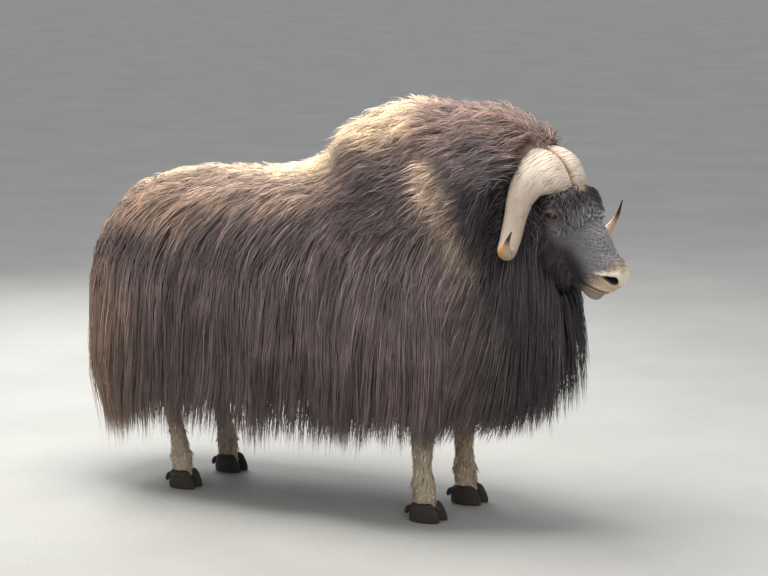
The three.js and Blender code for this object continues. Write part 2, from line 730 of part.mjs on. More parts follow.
// The head
let head = fused([
  faceFlesh(0).intersect(headBox(0)),
  ...SIDES.map(([, side]) => ball(eyeCentre(side), EYE_RADIUS + LID_THICKNESS, 12)),
  lip(12, 10),
  lip(-11, 9),
]);
const openings = SIDES.flatMap(([, side]) => [
  ball(eyeCentre(side), EYE_RADIUS + GAP, 12),
  lidOpening(side),
  nostril(side),
]);
head = largest(without(head, ...openings, mouthLine()));
add("head", head, BLACK_BROWN);
for (const [name, side] of SIDES) {
  add("horn_" + name, largest(horn(side, 26, 10).subtract(faceClearance)), HORN, 0.55);
  add("ear_" + name, largest(without(ear(side), faceClearance, horn(side, 26, 10, GAP))), BROWN);
  add("eye_" + name, ball(eyeCentre(side), EYE_RADIUS, 12), 0x0b0806, 0.1);
}

// The legs
const bodyClearance = bodyFlesh(GAP);
for (const [name, side] of SIDES) {
  add("leg_fore_" + name, largest(leg(FORE_LEG, side).subtract(bodyClearance)), STOCKING);
  add("leg_hind_" + name, largest(leg(HIND_LEG, side).subtract(bodyClearance)), STOCKING);
  add("hoof_fore_" + name, hoof(378, side, 57), HOOF, 0.6);
  add("hoof_hind_" + name, hoof(-606, side, 52), HOOF, 0.6);
}

const muskox = new THREE.Group();
muskox.add(...parts);
const bounds = new THREE.Box3().setFromObject(muskox);
const middle = bounds.getCenter(point(0, 0, 0));
for (const part of parts) part.geometry.translate(-middle.x, -middle.y, -bounds.min.z);
export default muskox;
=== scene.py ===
import math

import bmesh
import bpy
import numpy as np
from mathutils import Matrix, Vector
from mathutils.kdtree import KDTree


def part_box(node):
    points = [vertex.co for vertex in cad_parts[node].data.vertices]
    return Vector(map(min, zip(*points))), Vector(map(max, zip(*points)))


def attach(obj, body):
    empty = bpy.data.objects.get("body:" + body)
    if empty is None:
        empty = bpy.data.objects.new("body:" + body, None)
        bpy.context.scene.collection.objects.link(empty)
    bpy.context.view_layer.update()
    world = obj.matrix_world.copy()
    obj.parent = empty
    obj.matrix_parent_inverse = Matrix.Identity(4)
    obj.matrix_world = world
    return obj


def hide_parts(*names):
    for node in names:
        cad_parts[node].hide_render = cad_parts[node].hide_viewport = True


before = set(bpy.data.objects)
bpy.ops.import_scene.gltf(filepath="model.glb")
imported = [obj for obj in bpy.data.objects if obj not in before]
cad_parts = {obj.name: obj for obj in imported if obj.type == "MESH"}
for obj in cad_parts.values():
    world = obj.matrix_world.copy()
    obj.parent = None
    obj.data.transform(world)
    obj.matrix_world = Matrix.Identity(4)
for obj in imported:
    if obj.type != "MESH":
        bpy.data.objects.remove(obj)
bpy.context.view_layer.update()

# Hide. The skin of the whole animal, from the lips to the pasterns, is one piece without a seam. Its form
# is muscle and fat, so it is built up from rounded masses that run into each other, and lies under the coat.
HEAD_PITCH = math.radians(58)
HEAD_TURN = math.radians(-7)
EYE_PLACE = (0.203, 0.112, -0.052)  # along the face from the crown, to the left, out of the forehead
CROWN_DRAWN = np.array((0.775, 0, 1.262))  # the crown before the whole animal is centred on the origin
head_matrix = Matrix.Rotation(HEAD_TURN, 3, "Z") @ Matrix.Rotation(HEAD_PITCH, 3, "Y")
head_axes = np.array(head_matrix)
eye_low, eye_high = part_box("eye_left")
crown = np.array((eye_low + eye_high) / 2) - head_axes @ np.array(EYE_PLACE)
centring = crown - CROWN_DRAWN

BODY_MASSES = {
    "rump": ((-0.575, 0, 0.800), (0.385, 0.300, 0.315)),
    "barrel": ((-0.190, 0, 0.815), (0.520, 0.335, 0.325)),
    "belly": ((-0.150, 0, 0.640), (0.430, 0.290, 0.180)),
    "hump": ((0.315, 0, 1.015), (0.400, 0.230, 0.348)),
    "chest": ((0.300, 0, 0.760), (0.330, 0.315, 0.300)),
    "neck": ((0.572, 0, 1.085), (0.235, 0.208, 0.258)),
    "throat": ((0.600, 0, 0.860), (0.205, 0.180, 0.210)),
    "brisket": ((0.560, 0, 0.640), (0.165, 0.165, 0.205)),
}
BODY_BLEND = 0.110
FACE_MASSES = {
    "cranium": ((0.075, 0, -0.086), (0.125, 0.100, 0.076)),
    "brow": ((0.178, 0, -0.048), (0.072, 0.108, 0.062)),
    "orbit left": ((0.200, 0.092, -0.054), (0.044, 0.036, 0.036)),
    "orbit right": ((0.200, -0.092, -0.054), (0.044, 0.036, 0.036)),
    "face": ((0.300, 0, -0.066), (0.150, 0.066, 0.078)),
    "bridge": ((0.345, 0, -0.010), (0.135, 0.042, 0.038)),
    "muzzle": ((0.434, 0, -0.048), (0.066, 0.062, 0.056)),
    "nose pad": ((0.447, 0, -0.006), (0.040, 0.054, 0.036)),
    "chin": ((0.440, 0, -0.106), (0.060, 0.045, 0.034)),
    "cheek left": ((0.215, 0.058, -0.140), (0.105, 0.050, 0.088)),
    "cheek right": ((0.215, -0.058, -0.140), (0.105, 0.050, 0.088)),
    "lower jaw": ((0.290, 0, -0.142), (0.150, 0.052, 0.062)),
}
FACE_BLEND = 0.034
FORE_LEG = [  # along the body, height, half depth, half width
    (0.372, 0.050, 0.044, 0.041),
    (0.366, 0.118, 0.046, 0.042),
    (0.362, 0.190, 0.034, 0.031),
    (0.362, 0.270, 0.041, 0.039),
    (0.358, 0.330, 0.049, 0.047),
    (0.350, 0.420, 0.062, 0.052),
    (0.340, 0.640, 0.082, 0.056),
]
HIND_LEG = [
    (-0.612, 0.046, 0.041, 0.038),
    (-0.618, 0.118, 0.044, 0.039),
    (-0.634, 0.200, 0.035, 0.030),
    (-0.664, 0.310, 0.047, 0.035),
    (-0.668, 0.360, 0.053, 0.041),
    (-0.640, 0.450, 0.075, 0.052),
    (-0.590, 0.660, 0.108, 0.058),
]
STANCE = 0.148  # from the middle of the body out to each leg
LEG_BLEND = 0.012
FAR_AWAY = 9.0
SKIN_UNDER_COAT = 0.012  # how far the skin lies inside the body's outline
SKIN_UNDER_FACE_FUR = 0.002
MESH_SIZE = 0.012


def to_head(points):
    return (points - crown) @ head_axes


def on_head(*place):
    return crown + head_axes @ np.array(place)


def joined(a, b, blend):
    h = np.maximum(blend - np.abs(a - b), 0) / blend
    return np.minimum(a, b) - h * h * blend / 4


def to_mass(points, centre, radii):
    scaled = (points - centre) / radii
    k = np.linalg.norm(scaled, axis=-1)
    return k * (k - 1) / np.maximum(np.linalg.norm(scaled / radii, axis=-1), 1e-9)


def to_masses(points, masses, blend, move=0):
    distance = None
    for centre, radii in masses.values():
        d = to_mass(points, np.array(centre) + move, np.array(radii))
        distance = d if distance is None else joined(distance, d, blend)
    return distance


def to_body(points):
    return to_masses(points, BODY_MASSES, BODY_BLEND, centring)


def to_face_masses(local):
    return to_masses(local, FACE_MASSES, FACE_BLEND)


def to_legs(points):
    nearest = np.full(points.shape[:-1], FAR_AWAY)
    for side in (1, -1):
        for leg in (FORE_LEG, HIND_LEG):
            for (xa, za, da, wa), (xb, zb, db, wb) in zip(leg, leg[1:]):
                a = np.array((xa, STANCE * side, za)) + centring
                b = np.array((xb, STANCE * side, zb)) + centring
                t = np.clip(((points - a) @ (b - a)) / ((b - a) @ (b - a)), 0, 1)
                off = points - (a + t[..., None] * (b - a))
                deep, wide = da + t * (db - da), wa + t * (wb - wa)
                k = np.hypot(off[..., 0] / deep, off[..., 1] / wide)
                d = (k - 1) * wide + np.abs(off[..., 2])
                nearest = joined(nearest, d, LEG_BLEND)
    return nearest


def unit(vector):
    return vector / np.linalg.norm(vector)


def eye_at(side):
    return np.array(EYE_PLACE) * (1, side, 1)


def eye_directions(side):
    """Along the slit of the eye, up across it, and outwards, in the head's own directions."""
    way = unit(np.array((0.28, side, 0.2)))
    slit = np.array((0.68, 0, 0.73))
    slit = unit(slit - (slit @ way) * way)
    return slit, np.cross(way, slit) * side, way


EYE_SIZE = 0.0185
SLIT_LENGTH, SLIT_HEIGHT = 0.0190, 0.0088  # half sizes of the opening between the lids
MOUTH = ((0.405, -0.106), (0.506, -0.052))  # its corner and its front: along the face, out of the forehead
NOSTRIL_PLACE = (0.474, 0.042, -0.006)
NOSTRIL_HALF_LENGTH = 0.030


def mouth_height(x):
    (corner, low), (front, high) = MOUTH
    return low + (high - low) * np.clip((x - corner) / (front - corner), 0, 1) ** 1.3


def step(value, low, high):
    t = np.clip((value - low) / (high - low), 0, 1)
    return t * t * (3 - 2 * t)


def bump(value, middle, spread):
    return np.exp(-(((value - middle) / spread) ** 2))


def into_nostril(side):
    return unit(np.array((0.66, 0.74 * side, 0.05)))


def nostril_place(points, side):
    """Where points lie from the middle of a nostril: along its arch, above it, and into it."""
    deep = into_nostril(side)
    along = np.array((0.72, -0.66 * side, 0.24))
    along = unit(along - (along @ deep) * deep)
    off = points - np.array(NOSTRIL_PLACE) * (1, side, 1)
    far = off @ along
    return far, off @ (np.cross(along, deep) * side) + 9 * far**2 - 0.002, off @ deep


def to_nostril(points, side):
    """Distance over the skin to the edge of a nostril, a comma that opens forwards and to the side."""
    far, above, deep = nostril_place(points, side)
    tall = 0.0115 + 0.0050 * step(far, -0.015, 0.015)
    edge = (np.hypot(above / tall, far / NOSTRIL_HALF_LENGTH) - 1) * 0.0115
    return np.where(deep > -0.045, edge, 0.05)


def to_face(points):
    """Distance to the face in the head's directions, with the swellings round lids, nostrils and lips."""
    x, y, z = points[..., 0], points[..., 1], points[..., 2]
    d = to_face_masses(points)
    for side in (1, -1):
        slit, over, way = eye_directions(side)
        off = points - eye_at(side)
        a, b, o = off @ slit, off @ over, off @ way
        r = np.linalg.norm(off, axis=-1)
        d = joined(d, r - EYE_SIZE - 0.0045, 0.010)
        ring = np.hypot(a / 1.45, b)
        near = np.where(o > 0, 1.0, 0.0)
        d = d - 0.0016 * bump(ring, 0.0125, 0.0028) * near
        d = d + 0.0018 * bump(ring, 0.0205, 0.0028) * near * (b < 0.004)
        d = d - 0.0040 * bump(ring, 0.0300, 0.0080) * near * (b > 0)
        hole = to_nostril(points, side)
        above = nostril_place(points, side)[1]
        d = d - (0.0025 + 0.0025 * step(above, -0.004, 0.010)) * bump(hole, 0.0050, 0.0050)
    d = d - 0.0036 * bump(z, mouth_height(x) + 0.0105, 0.0075) * (x > 0.40)
    d = d - 0.0030 * bump(z, mouth_height(x) - 0.0095, 0.0065) * (x > 0.40)
    d = d + 0.0070 * bump(z, mouth_height(x), 0.0022) * step(x, 0.398, 0.412)
    d = d + 0.0022 * bump(y, 0, 0.0035) * (x > 0.46) * (z > -0.075) * (z < -0.02)
    return d + SKIN_UNDER_FACE_FUR


def to_animal(points):
    """Distance to the whole skin. Legs and face are only worked out where they are near."""
    distance = to_body(points) + SKIN_UNDER_COAT
    low = points[:, 2] < 0.68
    distance[low] = joined(distance[low], to_legs(points[low]) + 0.004, 0.05)
    local = to_head(points)
    near = (local[:, 0] > -0.12) & (np.linalg.norm(local - (0.24, 0, -0.08), axis=1) < 0.42)
    distance[near] = joined(distance[near], to_face(local[near]), 0.03)
    return distance


def slope(distance, points, step=0.002):
    """Outward direction of a distance at the points."""
    corners = np.array(((1, -1, -1), (-1, -1, 1), (-1, 1, -1), (1, 1, 1)), float)
    total = sum(c * distance(points + step * c)[..., None] for c in corners)
    return total / np.maximum(np.linalg.norm(total, axis=-1, keepdims=True), 1e-12)


def places(mesh):
    """The points of a mesh as rows."""
    co = np.empty(len(mesh.vertices) * 3)
    mesh.vertices.foreach_get("co", co)
    return co.reshape(-1, 3)


def put(mesh, co):
    mesh.vertices.foreach_set("co", co.ravel())
    mesh.update()


def shade_smooth(piece):
    piece.data.polygons.foreach_set("use_smooth", np.ones(len(piece.data.polygons), bool))


def apply_modifier(kind, **settings):
    piece = bpy.context.object
    modifier = piece.modifiers.new(kind, kind)
    for name, value in settings.items():
        setattr(modifier, name, value)
    bpy.ops.object.modifier_apply(modifier=modifier.name)


def swept(name, rings):
    """A closed form: a circle that is extruded from ring to ring of points."""
    bpy.ops.object.select_all(action="DESELECT")
    bpy.ops.mesh.primitive_circle_add(vertices=len(rings[0]), fill_type="NGON")
    piece = bpy.context.object
    piece.name = piece.data.name = name
    bpy.ops.object.mode_set(mode="EDIT")
    bpy.ops.mesh.select_mode(type="FACE")
    bpy.ops.mesh.select_all(action="SELECT")
    for i, ring in enumerate(rings):
        if i:
            bpy.ops.mesh.extrude_region_move()
        shape = bmesh.from_edit_mesh(piece.data)
        end = next(face for face in shape.faces if face.select)
        for corner, place in zip(end.verts, ring):
            corner.co = place
        bmesh.update_edit_mesh(piece.data)
    bpy.ops.mesh.select_all(action="SELECT")
    bpy.ops.mesh.normals_make_consistent(inside=False)
    bpy.ops.object.mode_set(mode="OBJECT")
    return piece


bpy.ops.object.select_all(action="DESELECT")
flesh = []
for centre, radii in BODY_MASSES.values():
    bpy.ops.mesh.primitive_uv_sphere_add(segments=32, ring_count=16, location=np.array(centre) + centring)
    bpy.ops.transform.resize(value=[r - SKIN_UNDER_COAT for r in radii])
    flesh.append(bpy.context.object)
head_turn = head_matrix.to_euler()
for centre, radii in FACE_MASSES.values():
    bpy.ops.mesh.primitive_uv_sphere_add(
        segments=32, ring_count=16, location=on_head(*centre), rotation=head_turn
    )
    bpy.context.object.scale = radii
    flesh.append(bpy.context.object)
for leg in (FORE_LEG, HIND_LEG):
    for side in (1, -1):
        x, z, deep, wide = leg[0]
        middle = Vector((x, STANCE * side, z)) + Vector(centring)
        bpy.ops.mesh.primitive_circle_add(vertices=16, radius=1, fill_type="NGON", location=middle)
        bpy.context.object.scale = (deep, wide, 1)
        bpy.ops.object.transform_apply(location=True, rotation=False, scale=True)
        bpy.ops.object.mode_set(mode="EDIT")
        bpy.ops.mesh.select_all(action="SELECT")
        for xb, zb, db, wb in leg[1:]:
            bpy.ops.mesh.extrude_region_move(TRANSFORM_OT_translate={"value": (xb - x, 0, zb - z)})
            middle += Vector((xb - x, 0, zb - z))
            bpy.ops.transform.resize(value=(db / deep, wb / wide, 1), center_override=middle)
            x, z, deep, wide = xb, zb, db, wb
        bpy.ops.mesh.select_all(action="SELECT")
        bpy.ops.mesh.normals_make_consistent(inside=False)
        bpy.ops.object.mode_set(mode="OBJECT")
        flesh.append(bpy.context.object)
for mass in flesh:
    mass.select_set(True)
hide = flesh[0]
bpy.context.view_layer.objects.active = hide
bpy.ops.object.join()
bpy.ops.object.transform_apply(location=True, rotation=True, scale=True)
hide.name = hide.data.name = "hide"
apply_modifier("REMESH", mode="VOXEL", voxel_size=MESH_SIZE, use_smooth_shade=True)


def fall_on(distance, mesh, near, steps, most):
    """Brings those of a mesh's points that pass a test onto a surface given as a distance."""
    co = places(mesh)
    chosen = near(co)
    moved = co[chosen]
    for _ in range(steps):
        d = distance(moved)[:, None]
        moved = moved - slope(distance, moved) * np.clip(d, -most, most) * 0.9
    co[chosen] = moved
    put(mesh, co)


def subdivide_near(piece, near, cuts):
    """Divides the faces whose middles pass a test."""
    middles = np.empty(len(piece.data.polygons) * 3)
    piece.data.polygons.foreach_get("center", middles)
    chosen = near(middles.reshape(-1, 3))
    for kind in (piece.data.vertices, piece.data.edges, piece.data.polygons):
        kind.foreach_set("select", np.zeros(len(kind), bool))
    piece.data.polygons.foreach_set("select", chosen)
    bpy.ops.object.mode_set(mode="EDIT")
    bpy.ops.mesh.select_mode(type="FACE")
    bpy.ops.mesh.subdivide(number_cuts=cuts)
    bpy.ops.object.mode_set(mode="OBJECT")


def on_face(points):
    local = to_head(points)
    return (local[:, 0] > 0.10) & (to_face(local) < to_body(points) + 0.01)


def from_eyes(local):
    return np.minimum(*(np.linalg.norm(local - eye_at(side), axis=1) for side in (1, -1)))


def fine_part(points):
    local = to_head(points)
    mouth = (local[:, 0] > 0.385) & (to_face(local) < 0.02)
    return mouth | (from_eyes(local) < 0.042)


fall_on(to_animal, hide.data, lambda points: points[:, 2] > -1, 5, 0.02)
subdivide_near(hide, on_face, 2)
fall_on(to_animal, hide.data, on_face, 3, 0.006)
subdivide_near(hide, fine_part, 1)
fall_on(to_animal, hide.data, fine_part, 5, 0.003)


def lid_opening(points, side):
    """Distance over the skin to the edge of the opening between the lids, and how far out a point lies."""
    slit, over, way = eye_directions(side)
    off = points - eye_at(side)
    almond = np.hypot(np.abs(off @ slit / SLIT_LENGTH) ** 1.25, off @ over / SLIT_HEIGHT)
    return np.where(off @ way > 0.004, (almond - 1) * SLIT_HEIGHT, 0.05)


EYE_HOLLOW, NOSTRIL_HOLLOW = 0.016, 0.026  # how deep the openings are pressed in
co = places(hide.data)
fine = fine_part(co)
pressed = to_head(co[fine])
for side in (1, -1):
    way = eye_directions(side)[2]
    pressed -= EYE_HOLLOW * step(-lid_opening(pressed, side), -0.0004, 0.0026)[:, None] * way
    nostril = step(-to_nostril(pressed, side), -0.0010, 0.0060)[:, None]
    pressed -= NOSTRIL_HOLLOW * nostril * into_nostril(side)
co[fine] = crown + pressed @ head_axes.T
put(hide.data, co)


def ear_rings(side):
    """Rings of an ear: a leaf-shaped cup with a thin rim, open to the front and outwards."""
    root, tip = on_head(0.012, 0.072 * side, -0.108), on_head(0.046, 0.262 * side, -0.120)
    along = unit(tip - root)
    open_way = head_axes @ np.array((0.35, 0, 0.9))
    open_way = unit(open_way - (open_way @ along) * along)
    across = np.cross(along, open_way)
    rings = []
    for t in np.linspace(0, 1, 14):
        half = 0.034 * math.sin(math.pi * (0.18 + 0.8 * t)) ** 0.8 + 0.0012
        wall = 0.005 - 0.003 * t
        cup = half * 0.75 * math.sin(math.pi * min(1, 0.15 + t)) + 0.0005
        turns = [math.pi * (j / 10 - 0.5) for j in range(11)]
        outer = [(turn, half + wall / 2, cup + wall / 2) for turn in turns]
        inner = [(turn, half - wall / 2, max(cup - wall / 2, 0.0004)) for turn in turns[-2:0:-1]]
        bend = 0.010 * math.sin(math.pi * t)
        rings.append([
            root + (tip - root) * t + across * w * math.sin(a) - open_way * (c * math.cos(a) + bend)
            for a, w, c in outer + inner
        ])
    return rings


TAIL = [  # along the body, height, half width
    (-0.870, 1.010, 0.030), (-0.925, 0.975, 0.040), (-0.965, 0.915, 0.034), (-0.985, 0.850, 0.014),
]
tail_rings = []
turns = np.linspace(0, 2 * np.pi, 12, endpoint=False)
for x, z, wide in TAIL:
    deep, high = 0.5 * wide * np.cos(turns), 0.3 * wide * np.cos(turns)
    tail_rings.append(np.stack([x + deep, wide * np.sin(turns), z + high], 1) + centring)
limbs = [swept("ear", ear_rings(1)), swept("ear", ear_rings(-1)), swept("tail", tail_rings)]
for limb in limbs:
    bpy.context.view_layer.objects.active = limb
    apply_modifier("SUBSURF", levels=2, render_levels=2)
    limb.select_set(True)
hide.select_set(True)
bpy.context.view_layer.objects.active = hide
bpy.ops.object.join()
shade_smooth(hide)
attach(hide, "root")
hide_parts("rear", "tail", "rump", "back", "withers", "neck", "head")
for side in ("left", "right"):
    for part in ("haunch", "flank", "shoulder", "ear", "leg_fore", "leg_hind"):
        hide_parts(f"{part}_{side}")


class Wire:
    """A socket in a material, on which sums are written as plain arithmetic."""

    def __init__(self, paint, socket):
        self.paint, self.socket = paint, socket

    def sum_of(self, operation, first, second):
        return self.paint.node("ShaderNodeMath", {"operation": operation}, {0: first, 1: second})

    def __add__(self, other):
        return self.sum_of("ADD", self, other)

    def __sub__(self, other):
        return self.sum_of("SUBTRACT", self, other)

    def __rsub__(self, other):
        return self.sum_of("SUBTRACT", other, self)

    def __mul__(self, other):
        return self.sum_of("MULTIPLY", self, other)

    __radd__, __rmul__ = __add__, __mul__


class Paint:
    """A material that is built up node by node and ends in one surface."""

    def __init__(self, name):
        self.material = bpy.data.materials.new(name)
        self.material.use_nodes = True
        self.tree = self.material.node_tree
        self.tree.nodes.clear()

    def node(self, kind, settings=None, sockets=None, out=0):
        made = self.tree.nodes.new(kind)
        for name, value in (settings or {}).items():
            setattr(made, name, value)
        for name, value in (sockets or {}).items():
            if isinstance(value, Wire):
                self.tree.links.new(value.socket, made.inputs[name])
            elif isinstance(value, tuple) and made.inputs[name].type == "RGBA" and len(value) == 3:
                made.inputs[name].default_value = (*value, 1)
            else:
                made.inputs[name].default_value = value
        return Wire(self, made.outputs[out])

    def kept(self, name, out="Fac"):
        return self.node("ShaderNodeAttribute", {"attribute_name": name}, out=out)

    def mix(self, share, a, b, blend="MIX"):
        settings = {"data_type": "RGBA", "blend_type": blend}
        return self.node("ShaderNodeMix", settings, {0: share, 6: a, 7: b}, out=2)

    def place(self):
        return self.node("ShaderNodeTexCoord", out="Object")

    def noise(self, vector, scale, detail=2, rough=0.5, out="Fac"):
        sockets = {"Vector": vector, "Scale": scale, "Detail": detail, "Roughness": rough}
        return self.node("ShaderNodeTexNoise", sockets=sockets, out=out)

    def between(self, value, low, high, to_low=0.0, to_high=1.0):
        settings = {"interpolation_type": "SMOOTHSTEP"}
        sockets = {"Value": value, "From Min": low, "From Max": high, "To Min": to_low, "To Max": to_high}
        return self.node("ShaderNodeMapRange", settings, sockets)

    def relief(self, height, distance):
        return self.node("ShaderNodeBump", sockets={"Height": height, "Distance": distance})

    def surface(self, **sockets):
        names = {name.replace("_", " "): value for name, value in sockets.items()}
        shader = self.node("ShaderNodeBsdfPrincipled", sockets=names)
        output = self.tree.nodes.new("ShaderNodeOutputMaterial")
        self.tree.links.new(shader.socket, output.inputs["Surface"])
        return self.material


def wear(piece, material):
    piece.data.materials.clear()
    piece.data.materials.append(material)


def colour(red, green, blue):
    """A colour as a screen shows it, 0 to 255, as the light it stands for."""
    shares = [c / 255 for c in (red, green, blue)]
    return tuple(c / 12.92 if c <= 0.04045 else ((c + 0.055) / 1.055) ** 2.4 for c in shares)


def unit_rows(vectors):
    return vectors / np.maximum(np.linalg.norm(vectors, axis=1, keepdims=True), 1e-9)


def waver(points, scale, phase):
    """A smooth value of about -1 to 1 that wanders over the body."""
    x, y, z = (points * scale).T
    return (
        np.sin(x * 1.3 + y * 0.7 + phase)
        + np.sin(y * 1.7 - z * 1.1 + phase * 2.3)
        + np.sin(z * 1.9 + x * 0.8 - phase * 1.7)
        + np.sin((x + z) * 2.7 + phase * 0.6)
    ) / 2.6


def turn_round_spine(points):
    """Angle round the body from the middle of its back: to the left above none, to the right below."""
    x, y, z = (points - centring).T
    spine = 0.80 + np.clip(x / 0.6, 0, 1) * 0.11
    return np.arctan2(y, z - spine)


def round_spine(points):
    """Degrees round the body from the middle of its back to the middle of its belly, on both sides."""
    return np.degrees(np.abs(turn_round_spine(points)))


def markings(points):
    """The coat's colours as shares. Where there is none of them the coat is dark brown."""
    p = points - centring
    x, z = p[:, 0], p[:, 2]
    angle = round_spine(points) + 5 * waver(points, 9, 1.0)
    local = to_head(points)
    wander = 0.03 * waver(points, 11, 2.0)
    along_back = step(x + wander, -0.52, -0.22) * (1 - step(x + wander, 0.20, 0.40))
    straw = along_back * (1 - step(angle, 13, 30))
    straw = np.maximum(straw, 0.55 * (1 - step(x + wander, -0.40, -0.20)) * (1 - step(angle, 8, 24)))
    straw = np.maximum(straw, 0.45 * (1 - step(x + wander, -0.95, -0.78)) * step(z + wander, 0.86, 1.00))
    edge = np.interp(x, [-0.80, -0.55, -0.25, 0.0, 0.15, 0.35], [48, 48, 42, 32, 16, 4])
    tan = (1 - step(angle, edge, edge + 24)) * (1 - step(x + wander, 0.26, 0.46))
    mane = step(x + wander, 0.14, 0.32) * (1 - step(angle, 10, 30)) * (1 - step(x, 0.72, 0.84))
    throat = step(x + wander, 0.58, 0.72) * step(angle, 26, 46)
    black = np.maximum(throat, step(local[:, 0] + wander, -0.03, 0.05) * step(local[:, 2], -0.32, -0.24))
    down = np.clip(((x - 0.43) * 0.20 - (z - 1.20) * 0.29) / 0.1241, 0, 1)  # along the patch of loose wool
    off = np.hypot(x - 0.43 - 0.20 * down, z - 1.20 + 0.29 * down) + 0.8 * wander
    shed = (1 - step(off, 0.010, 0.060 + 0.055 * bump(down, 0.6, 0.35))) * step(angle, 18, 30)
    stocking = (1 - step(z + 0.02 * waver(points, 30, 1.0), 0.22, 0.34)) * (to_legs(points) < 0.03)
    rust = (1 - step(x + wander, -1.02, -0.58)) * (1 - step(z + wander, 0.74, 0.98)) * (1 - stocking)
    return np.stack([straw, tan, mane, black * (1 - stocking), shed, stocking, rust]).clip(0, 1)


def face_marks(points):
    """Shares of muzzle, pale nostril rim with a painted highlight, painted shade in the hollows, grey bridge
    that is painted sheen, brown lids and frizz. Off the face all are none.
    """
    local = to_head(points)
    found = np.zeros((len(FACE_MARKS), len(points)))
    x, y, z = local.T
    here = (np.abs(y) < 0.15) & (x > 0.05) & (x < 0.56) & (z > -0.20)
    local = local[here]
    x, y, z = local.T
    wander = 0.006 * waver(points[here], 70, 1.0)
    left, right = to_nostril(local, 1), to_nostril(local, -1)
    hollow = np.minimum(left, right)
    above = np.where(left < right, nostril_place(local, 1)[1], nostril_place(local, -1)[1])
    muzzle = step(x + 1.5 * wander, 0.418, 0.462) * (1 - 0.5 * step(mouth_height(x) - z, 0.0, 0.012))
    muzzle *= 1 - 0.35 * (1 - step(x, 0.448, 0.478)) * step(-z, 0.0, 0.03)
    # The rims are pale skin. The rim colour on their upper edges and on the top of the nose front is a
    # painted highlight, where the light falls from above.
    rim = bump(hollow, 0.0060, 0.0055) * step(above, 0.002, 0.010)
    rim = np.maximum(rim, 0.85 * step(x + wander, 0.452, 0.474) * step(z, -0.012, 0.004))
    lips = (1 - step(np.abs(z - mouth_height(x)), 0.0016, 0.0034)) * (x > 0.41) * (x < 0.52)
    # Painted shade: near-black inside the nostrils and along the crease of the mouth.
    dark = np.maximum(step(-hollow, -0.0005, 0.0015), lips)
    # Painted sheen: grey over the top of the bridge, where the dark face hair catches the light.
    bridge = step(x, 0.17, 0.27) * (1 - step(x, 0.40, 0.47)) * step(z + 0.5 * np.abs(y), -0.080, -0.005)
    lids = np.zeros(len(local))
    for side in (1, -1):
        slit, over, way = eye_directions(side)
        off = local - eye_at(side)
        ring = np.hypot((off @ slit) / 1.45, off @ over)
        lids = np.maximum(lids, (1 - step(ring, 0.020, 0.040)) * (off @ way > 0))
        # Painted shade in the openings between the lids, whose edges are dark skin as well.
        dark = np.maximum(dark, step(-lid_opening(local, side), -0.0016, 0.0002))
    frizz = (1 - step(np.hypot((x - 0.135) / 1.2, y), 0.014, 0.034)) * (z > -0.04)
    found[:, here] = np.stack([muzzle, rim, dark, bridge, lids, frizz]).clip(0, 1)
    return found


BODY_MARKS = ("straw", "tan", "mane", "black", "shed", "stocking", "rust")
FACE_MARKS = ("muzzle", "rim", "dark", "bridge", "lids", "frizz")


def keep_values(mesh, name, values):
    """Keeps one value for each point, for a material to read."""
    made = mesh.attributes.new(name, "FLOAT", "POINT")
    made.data.foreach_set("value", np.ascontiguousarray(values, np.float32))


def keep_markings(mesh, points):
    for name, values in zip(BODY_MARKS + FACE_MARKS, (*markings(points), *face_marks(points))):
        keep_values(mesh, name, values)


DARK_COAT = colour(106, 93, 92)
RUST_COAT = colour(196, 162, 138)
SADDLE_COAT = colour(240, 214, 178)
TAN_COAT = colour(166, 140, 122)
MANE_COAT = colour(144, 118, 106)
BLACK_COAT = colour(60, 54, 56)
SHED_WOOL = colour(194, 170, 151)
STOCKING = colour(186, 168, 144)
MUZZLE_SKIN = colour(212, 188, 164)
# painted highlight on the pale skin of the nostril rims
NOSTRIL_RIM_HIGHLIGHT = colour(246, 230, 206)
# painted sheen on the dark hair of the bridge
GREY_SHEEN_PAINT = colour(158, 154, 156)
LID_SKIN = colour(92, 76, 72)
FRIZZ = colour(178, 156, 138)
# painted shade for the hollows of nostrils, mouth and lids
HOLLOW_SHADE = (0.006, 0.005, 0.005)


def coat_colour(paint):
    """Marked colour of hide and hair alike."""
    found = paint.mix(paint.kept("rust"), DARK_COAT, RUST_COAT)
    found = paint.mix(paint.kept("tan") * 0.9, found, TAN_COAT)
    found = paint.mix(paint.kept("mane"), found, MANE_COAT)
    found = paint.mix(paint.kept("straw"), found, SADDLE_COAT)
    found = paint.mix(paint.kept("shed"), found, SHED_WOOL)
    found = paint.mix(paint.kept("black"), found, BLACK_COAT)
    found = paint.mix(paint.kept("stocking"), found, STOCKING)
    # Painted sheen on the top of the bridge.
    found = paint.mix(paint.kept("bridge") * 0.8, found, GREY_SHEEN_PAINT)
    found = paint.mix(paint.kept("lids") * 0.75, found, LID_SKIN)
    found = paint.mix(paint.kept("frizz") * 0.8, found, FRIZZ)
    found = paint.mix(paint.kept("muzzle"), found, MUZZLE_SKIN)
    # Painted highlight on the pale upper rims of the nostrils and the top of the nose front.
    found = paint.mix(paint.kept("rim"), found, NOSTRIL_RIM_HIGHLIGHT)
    # Painted shade in the hollows of nostrils, mouth and lids.
    return paint.mix(paint.kept("dark"), found, HOLLOW_SHADE)


keep_markings(hide.data, places(hide.data))
paint = Paint("hide")
grain = paint.noise(paint.place(), 260, 3, 0.7)
speckled = paint.mix(grain, (0.1, 0.1, 0.1), (0.9, 0.9, 0.9))
base = paint.mix(0.5, coat_colour(paint), speckled, "OVERLAY")
wear(hide, paint.surface(Base_Color=base, Roughness=0.75, Normal=paint.relief(grain, 0.004)))

